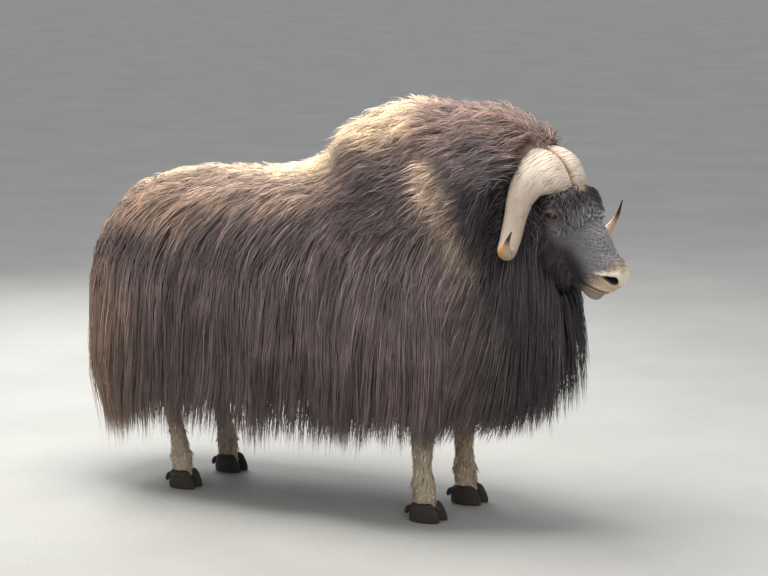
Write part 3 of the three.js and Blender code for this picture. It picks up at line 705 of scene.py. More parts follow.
# Horns. Pale horn spreads from a narrow groove in the forehead into two broad, fissured bosses, runs down
# close to the cheeks and turns up into slender dark tips. Each horn grows over a core of the skull.
HORN_LINE = [  # place on the head of the left horn's middle, half width, half thickness, hind edge's bend
    ((0.058, 0.007, -0.016), 0.082, 0.022, 0.038),
    ((0.058, 0.022, -0.015), 0.090, 0.031, 0.038),
    ((0.058, 0.060, -0.015), 0.092, 0.033, 0.038),
    ((0.066, 0.106, -0.040), 0.076, 0.031, 0.022),
    ((0.082, 0.146, -0.064), 0.057, 0.029, 0.008),
    ((0.116, 0.178, -0.094), 0.045, 0.027, 0),
    ((0.165, 0.202, -0.127), 0.037, 0.026, 0),
    ((0.217, 0.226, -0.160), 0.035, 0.026, 0),
    ((0.257, 0.262, -0.176), 0.031, 0.025, 0),
    ((0.262, 0.300, -0.152), 0.018, 0.017, 0),
]
HORN_TIPS = {  # worn unlike: the left one is the longer
    1: [((0.234, 0.318, -0.098), 0.0080, 0.0078, 0), ((0.197, 0.308, -0.042), 0.0016, 0.0016, 0)],
    -1: [((0.242, 0.320, -0.116), 0.0080, 0.0078, 0), ((0.222, 0.322, -0.082), 0.0016, 0.0016, 0)],
}
HORN_RINGS = 48
HORN_SIDES = 24
HORN_SAMPLES = 220  # places along a horn that its patterns and the hair round it are measured from


def smooth_line(values, count):
    """Points on a smooth curve through the values."""
    values = np.array(values, float)
    ends = np.vstack([2 * values[0] - values[1], values, 2 * values[-1] - values[-2]])
    made = []
    for t in np.linspace(0, len(values) - 1, count):
        i = min(int(t), len(values) - 2)
        w = t - i
        a, b, c, d = ends[i : i + 4]
        gaps = [max(np.linalg.norm(q - p) ** 0.5, 1e-4) for p, q in ((a, b), (b, c), (c, d))]
        start = ((b - a) / gaps[0] - (c - a) / (gaps[0] + gaps[1]) + (c - b) / gaps[1]) * gaps[1]
        end = ((c - b) / gaps[1] - (d - b) / (gaps[1] + gaps[2]) + (d - c) / gaps[2]) * gaps[1]
        bend = (2 * w**3 - 3 * w**2 + 1) * b + (w**3 - 2 * w**2 + w) * start
        made.append(bend + (3 * w**2 - 2 * w**3) * c + (w**3 - w**2) * end)
    return np.array(made)


def horn_frames(side, count):
    """Middle, direction across the face, direction out and half sizes at places along a horn."""
    stations = HORN_LINE + HORN_TIPS[side]
    line = smooth_line([on_head(x, y * side, z) for (x, y, z), _, _, _ in stations], count)
    sizes = smooth_line([(wide, deep, bend) for _, wide, deep, bend in stations], count)
    along = np.gradient(line, axis=0)
    across = head_axes @ np.array((1.0, 0, 0))
    frames = []
    for i in range(count):
        way = unit(along[i])
        across = unit(across - (across @ way) * way)
        out = np.cross(way, across) * -side
        frames.append((line[i], across, out, sizes[i, 0], sizes[i, 1], way, max(sizes[i, 2], 0)))
    return frames


def bent_back(share):
    """How far the hind part of a boss bends down, by the share of the half width in front of its middle."""
    return (np.maximum(0.1 - share, 0) / 1.1) ** 1.9


horn_samples = {}
HORN_PALE = colour(190, 171, 152)
HORN_SHADE = colour(158, 137, 119)
# The bosses' horn is paler: partly its own colour, partly painted light on their upward faces.
HORN_BOSS_PALE_AND_LIT = colour(224, 208, 187)
HORN_FLAKE = colour(236, 224, 206)
HORN_AMBER = colour(216, 150, 84)
HORN_TIP = colour(48, 38, 32)
HORN_CRACK = colour(134, 108, 88)
HORN_GROOVE = colour(158, 120, 92)
paint = Paint("horn")
run = paint.kept("run")
crossing = paint.kept("crossing", "Vector")
sway = paint.node("ShaderNodeVectorMath", {"operation": "MULTIPLY"}, {
    0: paint.noise(paint.place(), 42, 2, 0.5, out="Color"), 1: (0, 0.012, 0),
})
wavy = paint.node("ShaderNodeVectorMath", {"operation": "ADD"}, {0: crossing, 1: sway})
line, fine = (
    paint.noise(paint.node("ShaderNodeMapping", sockets={"Vector": wavy, "Scale": drawn_out}), 1, 3, 0.6)
    for drawn_out in ((14, 150, 1), (50, 420, 1))
)
boss = paint.between(run, 0.55, 0.25)
crack = paint.between(line, 0.47, 0.36) * boss
cloud = paint.noise(paint.place(), 20, 3, 0.6)
base = paint.mix(paint.between(cloud, 0.40, 0.75) * 0.6, HORN_PALE, HORN_SHADE)
# The bosses are paler than the shafts: partly painted light where they face up, over their own paler horn.
base = paint.mix(paint.between(run, 0.50, 0.22) * 0.85, base, HORN_BOSS_PALE_AND_LIT)
base = paint.mix(paint.between(line, 0.52, 0.72) * boss * 0.5, base, HORN_FLAKE)
base = paint.mix(paint.between(fine, 0.35, 0.65) * 0.3, base, HORN_SHADE)
base = paint.mix(crack * 0.55, base, HORN_CRACK)
base = paint.mix(paint.between(run, 0.10, 0.02) * paint.between(cloud, 0.3, 0.6) * 0.7, base, HORN_GROOVE)
hind = paint.between(paint.kept("girth"), 0.012, -0.010, 0.15, 1.0)
base = paint.mix(paint.between(run, 0.70, 0.80) * hind * 0.8, base, HORN_AMBER)
base = paint.mix(paint.between(run, 0.86, 0.94), base, HORN_TIP)
height = line * boss * 1.2 + fine * 0.4 - crack * 0.6
horn_material = paint.surface(
    Base_Color=base, Roughness=paint.between(run, 0.6, 0.9, 0.55, 0.3), Normal=paint.relief(height, 0.0020)
)
for name, side in (("left", 1), ("right", -1)):
    rings = []
    for i, (middle, across, out, wide, deep, way, bend) in enumerate(horn_frames(side, HORN_RINGS)):
        power = 0.82 + 0.18 * i / (HORN_RINGS - 1)
        a = np.linspace(0, 2 * np.pi, HORN_SIDES, endpoint=False)
        c, s = np.cos(a), np.sin(a)
        c, s = np.sign(c) * np.abs(c) ** power, np.sign(s) * np.abs(s) ** power
        rings.append(middle + np.outer(c * wide, across) + np.outer(s * deep - bend * bent_back(c), out))
    horn = swept(f"horn_{name}_dressed", rings)
    gaps = places(horn.data)[:, None] - np.concatenate(rings)[None]
    keep_values(horn.data, "run", (gaps**2).sum(2).argmin(1) // HORN_SIDES / (HORN_RINGS - 1))
    apply_modifier("SUBSURF", levels=2, render_levels=2)
    frames = horn_frames(side, HORN_SAMPLES)
    middles = np.array([f[0] for f in frames])
    co = places(horn.data)
    run = np.empty(len(co))
    horn.data.attributes["run"].data.foreach_get("value", run)
    nearest = np.rint(run * (HORN_SAMPLES - 1)).astype(int)
    across = np.array([f[1] for f in frames])[nearest]
    reach = np.cumsum(np.append(0, np.linalg.norm(np.diff(middles, axis=0), axis=1)))[nearest]
    girth = ((co - middles[nearest]) * across).sum(1)
    keep_values(horn.data, "girth", girth)
    crossing = horn.data.attributes.new("crossing", "FLOAT_VECTOR", "POINT")
    crossing.data.foreach_set("vector", np.stack([reach, girth, 0 * girth], 1).astype(np.float32).ravel())
    outward = np.empty(len(co) * 3)
    horn.data.vertices.foreach_get("normal", outward)
    wavy = girth + 0.004 * np.sin(reach * 70 + side) + 0.002 * np.sin(reach * 190 + girth * 60)
    ridge = np.sin(wavy * 430) + 0.6 * np.sin(wavy * 790 + 2 * np.sin(reach * 55))
    swell = 0.0006 * ridge * (1 - step(run, 0.16, 0.50))
    lump = 0.0016 * waver(co, 46, 1.0 + side) * (1 - step(run, 0.25, 0.55))
    put(horn.data, co + outward.reshape(-1, 3) * (swell + lump)[:, None])
    shade_smooth(horn)
    wear(horn, horn_material)
    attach(horn, "root")
    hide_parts(f"horn_{name}")
    horn_samples[name] = (middles, frames)


def to_horns(points):
    """Rough distance to the horns, for the hair that lies round them."""
    nearest = np.full(len(points), FAR_AWAY)
    for middles, frames in horn_samples.values():
        picks = list(range(0, HORN_SAMPLES, 6))
        centre = middles[picks]
        gap = ((points[:, None] - centre[None]) ** 2).sum(2).argmin(1)
        sizes = [[frames[i][k] for i in picks] for k in range(1, 7)]
        across, out, wide, deep, way, bend = (np.array(values)[gap] for values in sizes)
        off = points - centre[gap]
        share = (off * across).sum(1) / wide
        k = np.hypot(share, ((off * out).sum(1) + bend * bent_back(share)) / deep)
        far = np.abs((off * way).sum(1))
        nearest = np.minimum(nearest, (k - 1) * deep + np.maximum(far - 0.012, 0))
    return nearest


# Eyes. Dark brown eyeballs with a long level pupil, wet and clear on the surface. They are set deep between
# the lids, and the cornea stands out a little in front.
IRIS_EDGE = 0.62  # radians from the middle of the pupil
PUPIL_LENGTH, PUPIL_HEIGHT = 0.0078, 0.0036  # half sizes
CORNEA_BULGE = 0.0012
paint = Paint("eye")
turn = paint.kept("turn")
iris = paint.mix(paint.noise(paint.place(), 900, 2), colour(26, 15, 9), colour(56, 34, 20))
base = paint.mix(paint.between(turn, IRIS_EDGE - 0.04, IRIS_EDGE + 0.04), iris, colour(58, 44, 38))
base = paint.mix(paint.between(paint.kept("pupil"), 1.05, 0.95), base, (0.002, 0.002, 0.002))
eye_material = paint.surface(Base_Color=base, Roughness=0.06, Coat_Weight=0.6, Coat_Roughness=0.02)
for name, side in (("left", 1), ("right", -1)):
    slit, over, way = (head_axes @ v for v in eye_directions(side))
    middle = on_head(*eye_at(side))
    turned = Matrix([list(row) for row in np.stack([slit, over, way], 1)]).to_euler()
    bpy.ops.object.select_all(action="DESELECT")
    bpy.ops.mesh.primitive_uv_sphere_add(
        segments=48, ring_count=32, radius=EYE_SIZE, location=middle, rotation=turned
    )
    eye = bpy.context.object
    eye.name = eye.data.name = f"eye_{name}_dressed"
    bpy.ops.object.transform_apply(location=True, rotation=True, scale=True)
    co = places(eye.data)
    off = co - middle
    turn = np.arccos(np.clip((off @ way) / EYE_SIZE, -1, 1))
    pupil = np.hypot((off @ slit) / PUPIL_LENGTH, (off @ over) / PUPIL_HEIGHT)
    pupil[off @ way < 0] = 3  # no pupil on the back of the ball
    keep_values(eye.data, "turn", turn)
    keep_values(eye.data, "pupil", pupil)
    bulge = CORNEA_BULGE * np.exp(-((turn / IRIS_EDGE) ** 4))
    put(eye.data, co + unit_rows(off) * bulge[:, None])
    shade_smooth(eye)
    wear(eye, eye_material)
    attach(eye, "root")
    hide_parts(f"eye_{name}")

# Hooves. Each foot has two broad rounded claws of dark horn with a cleft between them, and two dewclaws
# behind. The claws are worn round at the rim and stand flat on the floor.
CLAW_RINGS = [  # height, then half depth, half width and place forwards, as shares of the hoof's size
    (0.000, 0.98, 0.430, 0.13),
    (0.004, 1.04, 0.450, 0.14),
    (0.022, 1.03, 0.452, 0.10),
    (0.042, 0.92, 0.420, 0.02),
    (0.060, 0.78, 0.370, -0.04),
    (0.066, 0.55, 0.260, -0.04),
]
DEWCLAW_RINGS = [(0.020, 0.10, 0.10, -1.14), (0.034, 0.20, 0.22, -1.10), (0.054, 0.16, 0.20, -0.92)]
paint = Paint("hoof")
rings_of_growth = paint.node(
    "ShaderNodeTexWave", {"wave_type": "BANDS", "bands_direction": "Z"},
    {"Vector": paint.place(), "Scale": 60, "Distortion": 2.5, "Detail": 3, "Detail Scale": 2},
)
dirt = paint.noise(paint.place(), 70, 4, 0.65)
base = paint.mix(rings_of_growth * 0.5, colour(38, 32, 28), colour(66, 56, 48))
base = paint.mix(paint.between(dirt, 0.55, 0.75) * 0.6, base, colour(112, 98, 80))
hoof_material = paint.surface(
    Base_Color=base, Roughness=0.45 + dirt * 0.3, Normal=paint.relief(rings_of_growth + dirt * 0.6, 0.0012)
)


def claw(centre, size, side_of_foot, rings, around=16):
    made = []
    a = np.linspace(0, 2 * np.pi, around, endpoint=False)
    inward = 1 - 0.25 * np.maximum(np.cos(a), 0) ** 2
    for height, deep, wide, forward in rings:
        x = centre[0] + size * (forward + deep * np.cos(a))
        y = centre[1] + size * (side_of_foot * 0.49 + wide * np.sin(a) * inward)
        made.append(np.stack([x, y, np.full(around, height)], 1))
    return made


for foot, x, size in (("fore", 0.378, 0.057), ("hind", -0.606, 0.052)):
    for name, side in (("left", 1), ("right", -1)):
        centre = np.array((x, STANCE * side)) + centring[:2]
        claws = [swept("claw", claw(centre, size, s, CLAW_RINGS)) for s in (1, -1)]
        claws += [swept("claw", claw(centre, size, s * 0.86, DEWCLAW_RINGS, 8)) for s in (1, -1)]
        for part in claws:
            part.select_set(True)
        bpy.context.view_layer.objects.active = claws[0]
        bpy.ops.object.join()
        hoof = bpy.context.object
        hoof.name = hoof.data.name = f"hoof_{foot}_{name}_dressed"
        apply_modifier("SUBSURF", levels=2, render_levels=2)
        shade_smooth(hoof)
        wear(hoof, hoof_material)
        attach(hoof, "root")
        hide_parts(f"hoof_{foot}_{name}")

# Coat. Long coarse guard hair hangs over dense soft wool. It grows in tufts that draw together towards
# their tips, lies back and down along the body, and hangs free as a skirt below the flanks.
rng = np.random.default_rng(41)
SOFTNESS = 0.5  # how far the light on a tuft follows the body under it
TUFT_DEPTH = 0.45  # thickness of a tuft as a share of its width
ROOT_PATCH = 0.003  # size of a tuft's place on the unwrap


def roots_on(mesh, count, wanted):
    """Random places on a mesh, as many on each part as the wanted share there asks."""
    mesh.calc_loop_triangles()
    corners = np.empty(len(mesh.loop_triangles) * 3, int)
    mesh.loop_triangles.foreach_get("vertices", corners)
    a, b, c = places(mesh)[corners.reshape(-1, 3)].transpose(1, 0, 2)
    normals = np.cross(b - a, c - a)
    area = np.linalg.norm(normals, axis=1)
    share = area * wanted((a + b + c) / 3)
    chosen = rng.choice(len(share), count, p=share / share.sum())
    u, v = rng.random((2, count, 1))
    flip = u + v > 1
    u, v = np.where(flip, 1 - u, u), np.where(flip, 1 - v, v)
    roots = a[chosen] + u * (b - a)[chosen] + v * (c - a)[chosen]
    return roots, normals[chosen] / area[chosen, None]


def drape(distance, roots, lengths, rise, lift, lie, steps):
    """Lines of hair that start at their roots, follow the lie, rest on the flesh and hang free below it."""
    at = roots.copy()
    lines, ups = [at], [slope(distance, at)]
    pace = (lengths / steps)[:, None]
    for i in range(1, steps + 1):
        t = i / steps
        up = ups[-1]
        way = lie(at, up, t)
        clear = distance(at)
        into = np.minimum((way * up).sum(1), 0)
        into[clear > rise + 0.03] = 0
        way = unit_rows(way - into[:, None] * up) + up * lift * (1 - t) ** 1.5
        way /= np.linalg.norm(way, axis=1, keepdims=True)
        at = at + way * pace
        up = slope(distance, at)
        short = rise * min(1, t / 0.35) - distance(at)
        at = at + up * np.maximum(short, 0)[:, None]
        lines.append(at)
        ups.append(up)
    return np.stack(lines, 1), np.stack(ups, 1)


def draw_together(lines, spacing, strength, power=1.0):
    """Pulls each line towards the nearest leading line, more and more towards the tips. In each cell of the
    spacing one line leads."""
    roots = lines[:, 0]
    leads = {}
    for i in rng.permutation(len(lines)):
        leads.setdefault(tuple(np.floor(roots[i] / spacing).astype(int)), i)
    leaders = list(leads.values())
    tree = KDTree(len(leaders))
    for n, i in enumerate(leaders):
        tree.insert(roots[i], n)
    tree.balance()
    leader = np.array([leaders[tree.find(root)[1]] for root in roots])
    t = np.linspace(0, 1, lines.shape[1])[None, :, None]
    pull = strength * t**power
    return lines + (lines[leader] - lines) * pull, leader


def for_corners(values, rings):
    """Values along each line, repeated for the three corners of a ring, with one for the tip."""
    return np.concatenate([np.repeat(values[:, :rings], 3, axis=1), values[:, -1:]], 1).reshape(-1, 3)


def hair_mesh(name, lines, ups, width, unwrap, tone, kept):
    """One mesh of tapered, three-sided tufts along the kept lines, with what its material reads."""
    roll = rng.normal(0, 0.5, (len(lines), 1, 1))
    jitter = rng.normal(0, 0.08, (len(lines), 1, 3))
    lines, ups, width, tone, roll, jitter = (v[kept] for v in (lines, ups, width, tone, roll, jitter))
    count, rings = lines.shape[0], lines.shape[1] - 1
    along = np.gradient(lines, axis=1)
    along /= np.maximum(np.linalg.norm(along, axis=2, keepdims=True), 1e-9)
    across = np.cross(along, ups)
    across /= np.maximum(np.linalg.norm(across, axis=2, keepdims=True), 1e-9)
    out = np.cross(across, along)
    across, out = across * np.cos(roll) + out * np.sin(roll), out * np.cos(roll) - across * np.sin(roll)
    t = np.linspace(0, 1, rings + 1)[None, :, None]
    taper = (0.75 + 0.5 * t) * (1 - t**2.2)
    half = width[:, None, None] * taper / 2
    deep = TUFT_DEPTH * width[:, None, None] * taper
    corners = np.stack([
        lines - across * half - out * deep * 0.3,
        lines + across * half - out * deep * 0.3,
        lines + out * deep * 0.7,
    ], 2)[:, :rings]
    per = rings * 3 + 1
    co = np.concatenate([corners.reshape(count, rings * 3, 3), lines[:, -1:]], 1).reshape(-1, 3)
    quads = [
        (3 * i + (j + 1) % 3, 3 * i + j, 3 * i + 3 + j, 3 * i + 3 + (j + 1) % 3)
        for i in range(rings - 1) for j in range(3)
    ]
    last = 3 * (rings - 1)
    tips = [(last + (j + 1) % 3, last + j, per - 1) for j in range(3)] + [(0, 1, 2)]
    pattern = np.array([v for face in quads + tips for v in face])
    sizes = np.array([4] * len(quads) + [3] * len(tips))
    loops = (pattern[None] + per * np.arange(count)[:, None]).ravel()
    totals = np.tile(sizes, count)
    mesh = bpy.data.meshes.new(name)
    mesh.vertices.add(len(co))
    mesh.vertices.foreach_set("co", co.ravel())
    mesh.loops.add(len(loops))
    mesh.loops.foreach_set("vertex_index", loops)
    mesh.polygons.add(len(totals))
    mesh.polygons.foreach_set("loop_start", np.concatenate([[0], np.cumsum(totals)[:-1]]))
    mesh.polygons.foreach_set("loop_total", totals)
    mesh.polygons.foreach_set("use_smooth", np.ones(len(totals), bool))
    mesh.update(calc_edges=True)
    soft = for_corners(ups * (1, 1, 0.6) + (0, 0, 0.25), rings)
    own = np.empty(len(co) * 3)
    mesh.vertices.foreach_get("normal", own)
    soft = SOFTNESS * unit_rows(soft) + (1 - SOFTNESS) * own.reshape(-1, 3)
    mesh.normals_split_custom_set_from_vertices(unit_rows(soft).tolist())
    share = np.append(np.repeat(np.arange(rings) / rings, 3), 1)
    keep_values(mesh, "along", np.tile(share, count))
    keep_values(mesh, "tone", np.repeat(tone, per))
    u, v = unwrap(lines[:, 0])
    round_tuft = np.append(np.tile([0.0, 0.5, 1.0], rings), 0.5)
    at_u = (u[:, None] + ROOT_PATCH * (share - 0.5)[None]).ravel()
    at_v = (v[:, None] + ROOT_PATCH * (round_tuft - 0.5)[None]).ravel()
    laid = mesh.uv_layers.new(name="OFBake")
    laid.data.foreach_set("uv", np.stack([at_u[loops], at_v[loops]], 1).ravel())
    reach = np.linalg.norm(lines[:, -1:] - lines[:, :1], axis=2, keepdims=True)
    seen = 0.35 * lines[:, :1] + 0.65 * lines + jitter * np.minimum(reach, 0.3)
    keep_markings(mesh, for_corners(seen, rings))
    made = bpy.data.objects.new(name, mesh)
    bpy.context.scene.collection.objects.link(made)
    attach(made, "root")
    return made


def unwrap_body(roots):
    u = (roots[:, 0] - centring[0] + 1.0) / 2.0
    v = turn_round_spine(roots) / (2 * np.pi) + 0.5
    return u * 0.98 + 0.01, v * 0.98 + 0.01


paint = Paint("coat")
base = coat_colour(paint)
tone = paint.kept("tone")
along = paint.kept("along")
lighter = paint.mix(1.0, base, (2.9, 2.65, 2.45), "MULTIPLY")
darker_tone_and_root_shade = paint.mix(1.0, base, (0.34, 0.33, 0.35), "MULTIPLY")
sunlit = paint.between(tone, 0.60, 0.95) * paint.between(along, 0.0, 0.7, 0.25, 0.85)
base = paint.mix(sunlit, base, lighter)
base = paint.mix(paint.between(tone, 0.52, 0.10) * 0.85, base, darker_tone_and_root_shade)
# Painted shade: each tuft darkens towards its root, where the hair shades itself next to the skin.
base = paint.mix(paint.between(along, 0.40, 0.0) * 0.70, base, darker_tone_and_root_shade)
patchy = paint.noise(paint.place(), 7, 3, 0.6)
base = paint.mix(paint.between(patchy, 0.52, 0.75) * 0.35, base, lighter)
base = paint.mix(paint.between(patchy, 0.46, 0.25) * 0.45, base, darker_tone_and_root_shade)
coat_material = paint.surface(Base_Color=base, Roughness=0.46 + tone * 0.15)


def torso_lie(at, up, t):
    p = at - centring
    high = np.clip((p[:, 2] - 0.85) / 0.30, 0, 1)
    front = step(p[:, 0], 0.30, 0.60)
    sweep = (0.06 + 0.9 * high) * (1 - 0.7 * front)
    side = np.sign(p[:, 1]) * 0.25 * high
    stray = 0.10 * waver(at, 14, 3.0) + high * (0.30 * waver(at, 8, 1.0) + 0.20 * waver(at, 26, 6.0))
    return np.stack([-sweep + stray, side + 0.04 * waver(at, 17, 5.0), -np.ones(len(at))], 1)


HEM = ([-1.0, -0.78, -0.5, 0.0, 0.45, 0.75], [0.08, 0.11, 0.17, 0.20, 0.22, 0.30])  # along the body, height


def above_hem(roots, length, varied):
    """Lengths that vary by a share and end at the hem."""
    length = length * (1 + varied * rng.normal(0, 1, len(roots))).clip(0.6, 1.35)
    x, _, z = (roots - centring).T
    room = z - np.interp(x, *HEM) - 0.10 * rng.random(len(roots)) ** 2
    return np.minimum(length, np.maximum(room, 0.05))


# Lengths of hair by the degrees round the body, then behind it by the height.
FLANK_LENGTHS = ([0, 30, 50, 68, 90, 115, 150, 180], [0.08, 0.10, 0.18, 0.42, 0.52, 0.46, 0.22, 0.12])
REAR_LENGTHS = ([0.45, 0.7, 0.95, 1.05, 1.15], [0.34, 0.56, 0.70, 0.42, 0.10])


def torso_lengths(roots):
    x, _, z = (roots - centring).T
    behind = 1 - step(x, -0.88, -0.74)
    flank = np.interp(round_spine(roots), *FLANK_LENGTHS)
    return above_hem(roots, flank * (1 - behind) + np.interp(z, *REAR_LENGTHS) * behind, 0.14)


def clear_of_horns(lines):
    """Which lines keep out of the horns and the eyes and don't lie over the bosses."""
    flat = lines.reshape(-1, 3)
    close = flat[:, 0] > 0.60
    near = flat[close]
    local = to_head(near)
    from_root = np.tile(np.arange(lines.shape[1]), len(lines))[close]
    open_to_sight = to_horns(near) > np.where(from_root == 0, -0.003, 0.0025)
    open_to_sight &= ~((local[:, 0] > 0.0) & (local[:, 0] < 0.10) & (local[:, 2] > 0.022))
    open_to_sight &= from_eyes(local) > 0.029
    kept = np.ones(len(flat), bool)
    kept[close] = open_to_sight
    return kept.reshape(lines.shape[:2]).all(1)


def grow(
    name, count, rings, wanted, lengths, rise, lift, lie, width, spacing, unwrap, distance, curl, mixed=1.0
):
    """A coat piece: roots, draped lines, tufts within tufts, and the mesh."""
    roots, _ = roots_on(hide.data, count, wanted)
    length = lengths(roots)
    layer = rng.random(count)
    heights = rise(roots) * (0.15 + 0.85 * layer)
    lines, ups = drape(distance, roots, length, heights, lift, lie, rings)
    lines, leader = draw_together(lines, spacing, 0.60 - 14 * curl, 1.2)
    tone = 0.5 + mixed * (0.55 * rng.random(count)[leader] + 0.45 * rng.random(count) - 0.5)
    t = np.linspace(0, 1, lines.shape[1])[None, :, None]
    phase = rng.random(count)[leader][:, None, None] * 6.3
    turns = length[:, None, None] / 0.09
    wave = np.concatenate([
        np.sin(phase + turns * t * 5),
        np.cos(phase * 1.7 + turns * t * 4),
        np.sin(phase * 2.3 + turns * t * 3),
    ], 2)
    lines = lines + wave * curl * t
    lines, _ = draw_together(lines, spacing / 3, 0.70 - 14 * curl, 1.0)
    loose = 0.0021 * np.minimum(length / 0.10, 1)[:, None, None]
    lines = lines + rng.normal(0, 1, lines.shape) * loose * t
    behind = np.minimum(lines[:, :, 0] + 0.95, 0)
    lines[:, :, 0] -= 0.65 * behind
    low = 1 - step(lines[:, :, 2], 0.16, 0.50)
    lines[:, :, 0] += 0.060 * low * step(-lines[:, :, 0], 0.66, 0.95)
    widths = width * (0.6 + 0.8 * rng.random(count))
    made = hair_mesh(name, lines, ups, widths, unwrap, tone, clear_of_horns(lines))
    wear(made, coat_material)
    return made


def body_part(points):
    """True on the torso and neck, but not on the head or the legs below the belly."""
    local = to_head(points)
    face = (local[:, 0] > 0.02) & (to_face_masses(local) < to_body(points) + 0.02)
    legs = (points[:, 2] < 0.60) & (to_legs(points) < 0.008) & (to_body(points) > -0.02)
    return ~(face | legs)


def side_part(points, sign, hind, fore):
    """True on one side of the torso and neck between two places along the body."""
    x, y, _ = (points - centring).T
    return (y * sign > 0) & (x > hind) & (x < fore) & body_part(points)


def even(value):
    return lambda roots: np.full(len(roots), value)


def to_body_and_head(points):
    """Distance to what the hair of the neck lies on: body, face and horns."""
    distance = to_body(points)
    near = points[:, 0] > 0.45
    face = to_face_masses(to_head(points[near]))
    distance[near] = np.minimum(distance[near], np.minimum(face, to_horns(points[near]) - 0.002))
    return distance


NECK_LENGTHS = ([0.45, 0.65, 0.85, 1.05, 1.25, 1.35], [0.26, 0.40, 0.40, 0.30, 0.16, 0.10])  # by height


def neck_lengths(roots):
    return above_hem(roots, np.interp(roots[:, 2] - centring[2], *NECK_LENGTHS), 0.16)


def neck_lie(at, up, t):
    x, y, _ = (at - centring).T
    back = -0.28 * (1 - step(x, 0.62, 0.80)) + 0.10 * waver(at, 14, 3.0)
    return np.stack([back, np.sign(y) * 0.12 + 0.05 * waver(at, 17, 5.0), -np.ones(len(at))], 1)


for side, sign in (("right", -1), ("left", 1)):
    def flank(points, sign=sign):
        angle = round_spine(points)
        here = side_part(points, sign, -0.86, 0.08) & (angle > 28)
        return here * np.interp(angle, [30, 50, 120, 180], [1.2, 1.3, 1.0, 0.3])

    piece = grow(
        f"coat_flank_{side}", 5400, 4, flank, torso_lengths, even(0.045), 0.35,
        torso_lie, 0.0036, 0.036, unwrap_body, to_body, 0.007,
    )

    def shoulder(points, sign=sign):
        angle = round_spine(points)
        here = side_part(points, sign, 0.06, 0.50) & (angle > 28)
        return here * np.interp(angle, [30, 50, 120, 180], [1.2, 1.3, 1.0, 0.5])

    piece = grow(
        f"coat_shoulder_{side}", 5400, 4, shoulder, torso_lengths, even(0.050), 0.45,
        torso_lie, 0.0036, 0.032, unwrap_body, to_body, 0.010,
    )

    def neck(points, sign=sign):
        angle = round_spine(points)
        here = side_part(points, sign, 0.48, np.inf) & ((angle > 26) | (points[:, 0] - centring[0] > 0.72))
        clear = to_horns(points) > 0.01
        return here * clear * np.interp(angle, [30, 50, 120, 180], [1.3, 1.3, 1.0, 0.6])

    piece = grow(
        f"coat_neck_{side}", 4600, 4, neck, neck_lengths, even(0.045), 0.50,
        neck_lie, 0.0038, 0.032, unwrap_body, to_body_and_head, 0.010,
    )


def rear(points):
    p = points - centring
    return (p[:, 0] < -0.74) & body_part(points) & (p[:, 2] > 0.45)


piece = grow(
    "coat_rear", 5400, 4, rear, torso_lengths, even(0.045), 0.35,
    torso_lie, 0.0038, 0.036, unwrap_body, to_body, 0.008,
)


def saddle(points):
    p = points - centring
    return (p[:, 0] > -0.80) & (p[:, 0] < 0.12) & (round_spine(points) < 42) & body_part(points)


def saddle_lengths(roots):
    return 0.075 + 0.05 * step(round_spine(roots), 20, 40) + 0.012 * rng.normal(0, 1, len(roots))


def saddle_rise(roots):
    x = roots[:, 0] - centring[0]
    return 0.022 + 0.030 * step(x, -0.25, -0.02)


piece = grow(
    "coat_saddle", 9000, 3, saddle, saddle_lengths, saddle_rise, 0.60,
    torso_lie, 0.0030, 0.018, unwrap_body, to_body, 0.006,
)


def hump_lengths(roots):
    return 0.12 + 0.03 * waver(roots, 21, 4.0) + 0.015 * rng.normal(0, 1, len(roots))


def hump_lie(at, up, t):
    side = np.sign(at[:, 1] - centring[1]) * 0.3 + 0.4 * waver(at, 23, 5.0)
    return np.stack([-0.9 + 0.5 * waver(at, 19, 3.0), side, np.full(len(at), -0.6)], 1)


for side, sign in (("right", -1), ("left", 1)):
    def hump(points, sign=sign):
        here = side_part(points, sign, 0.08, 0.76) & (round_spine(points) < 58)
        return here & (to_horns(points) > 0.005)

    piece = grow(
        f"coat_hump_{side}", 7000, 4, hump, hump_lengths, even(0.050), 1.2,
        hump_lie, 0.0028, 0.016, unwrap_body, to_body_and_head, 0.015,
    )


def face_part(points):
    local = to_head(points)
    clear = to_horns(points) > 0.0
    return on_face(points) & clear & (from_eyes(local) > 0.026) & (local[:, 0] < 0.45)


def face_lengths(roots):
    x, _, z = to_head(roots).T
    jaw = step(z, -0.10, -0.20)
    cheek = step(x, 0.30, 0.12)
    bridge = step(z, -0.06, 0.0) * (1 - step(x, 0.34, 0.44))
    length = 0.010 + 0.016 * cheek + 0.010 * bridge + 0.035 * jaw * step(x, 0.42, 0.25)
    return length * (0.7 + 0.6 * rng.random(len(roots)))


def face_lie(at, up, t):
    side = np.sign(to_head(at)[:, 1])
    way = [-0.55 + 0.2 * waver(at, 40, 1.0), side * 0.25, -0.75 + 0.2 * waver(at, 46, 2.0)]
    return np.stack(way, 1) @ head_axes.T


def unwrap_head(roots):
    local = to_head(roots)
    u = local[:, 0] / 0.56 + 0.02
    v = np.arctan2(local[:, 1], local[:, 2] + 0.085) / (2 * np.pi) + 0.5
    return u.clip(0, 0.97) + 0.01, v * 0.98 + 0.01


def to_face_world(points):
    return to_face_masses(to_head(points))


piece = grow(
    "coat_face", 9000, 2, face_part, face_lengths, even(0.002), 0.35,
    face_lie, 0.0022, 0.010, unwrap_head, to_face_world, 0.0006, 0.5,
)


def brow_part(points):
    """The forehead below the bosses, down to the brows."""
    x, y, z = to_head(points).T
    forehead = (x > 0.12) & (x < 0.27) & (np.abs(y) < 0.115) & (z > -0.07)
    return on_face(points) & forehead & (to_horns(points) > 0.001)


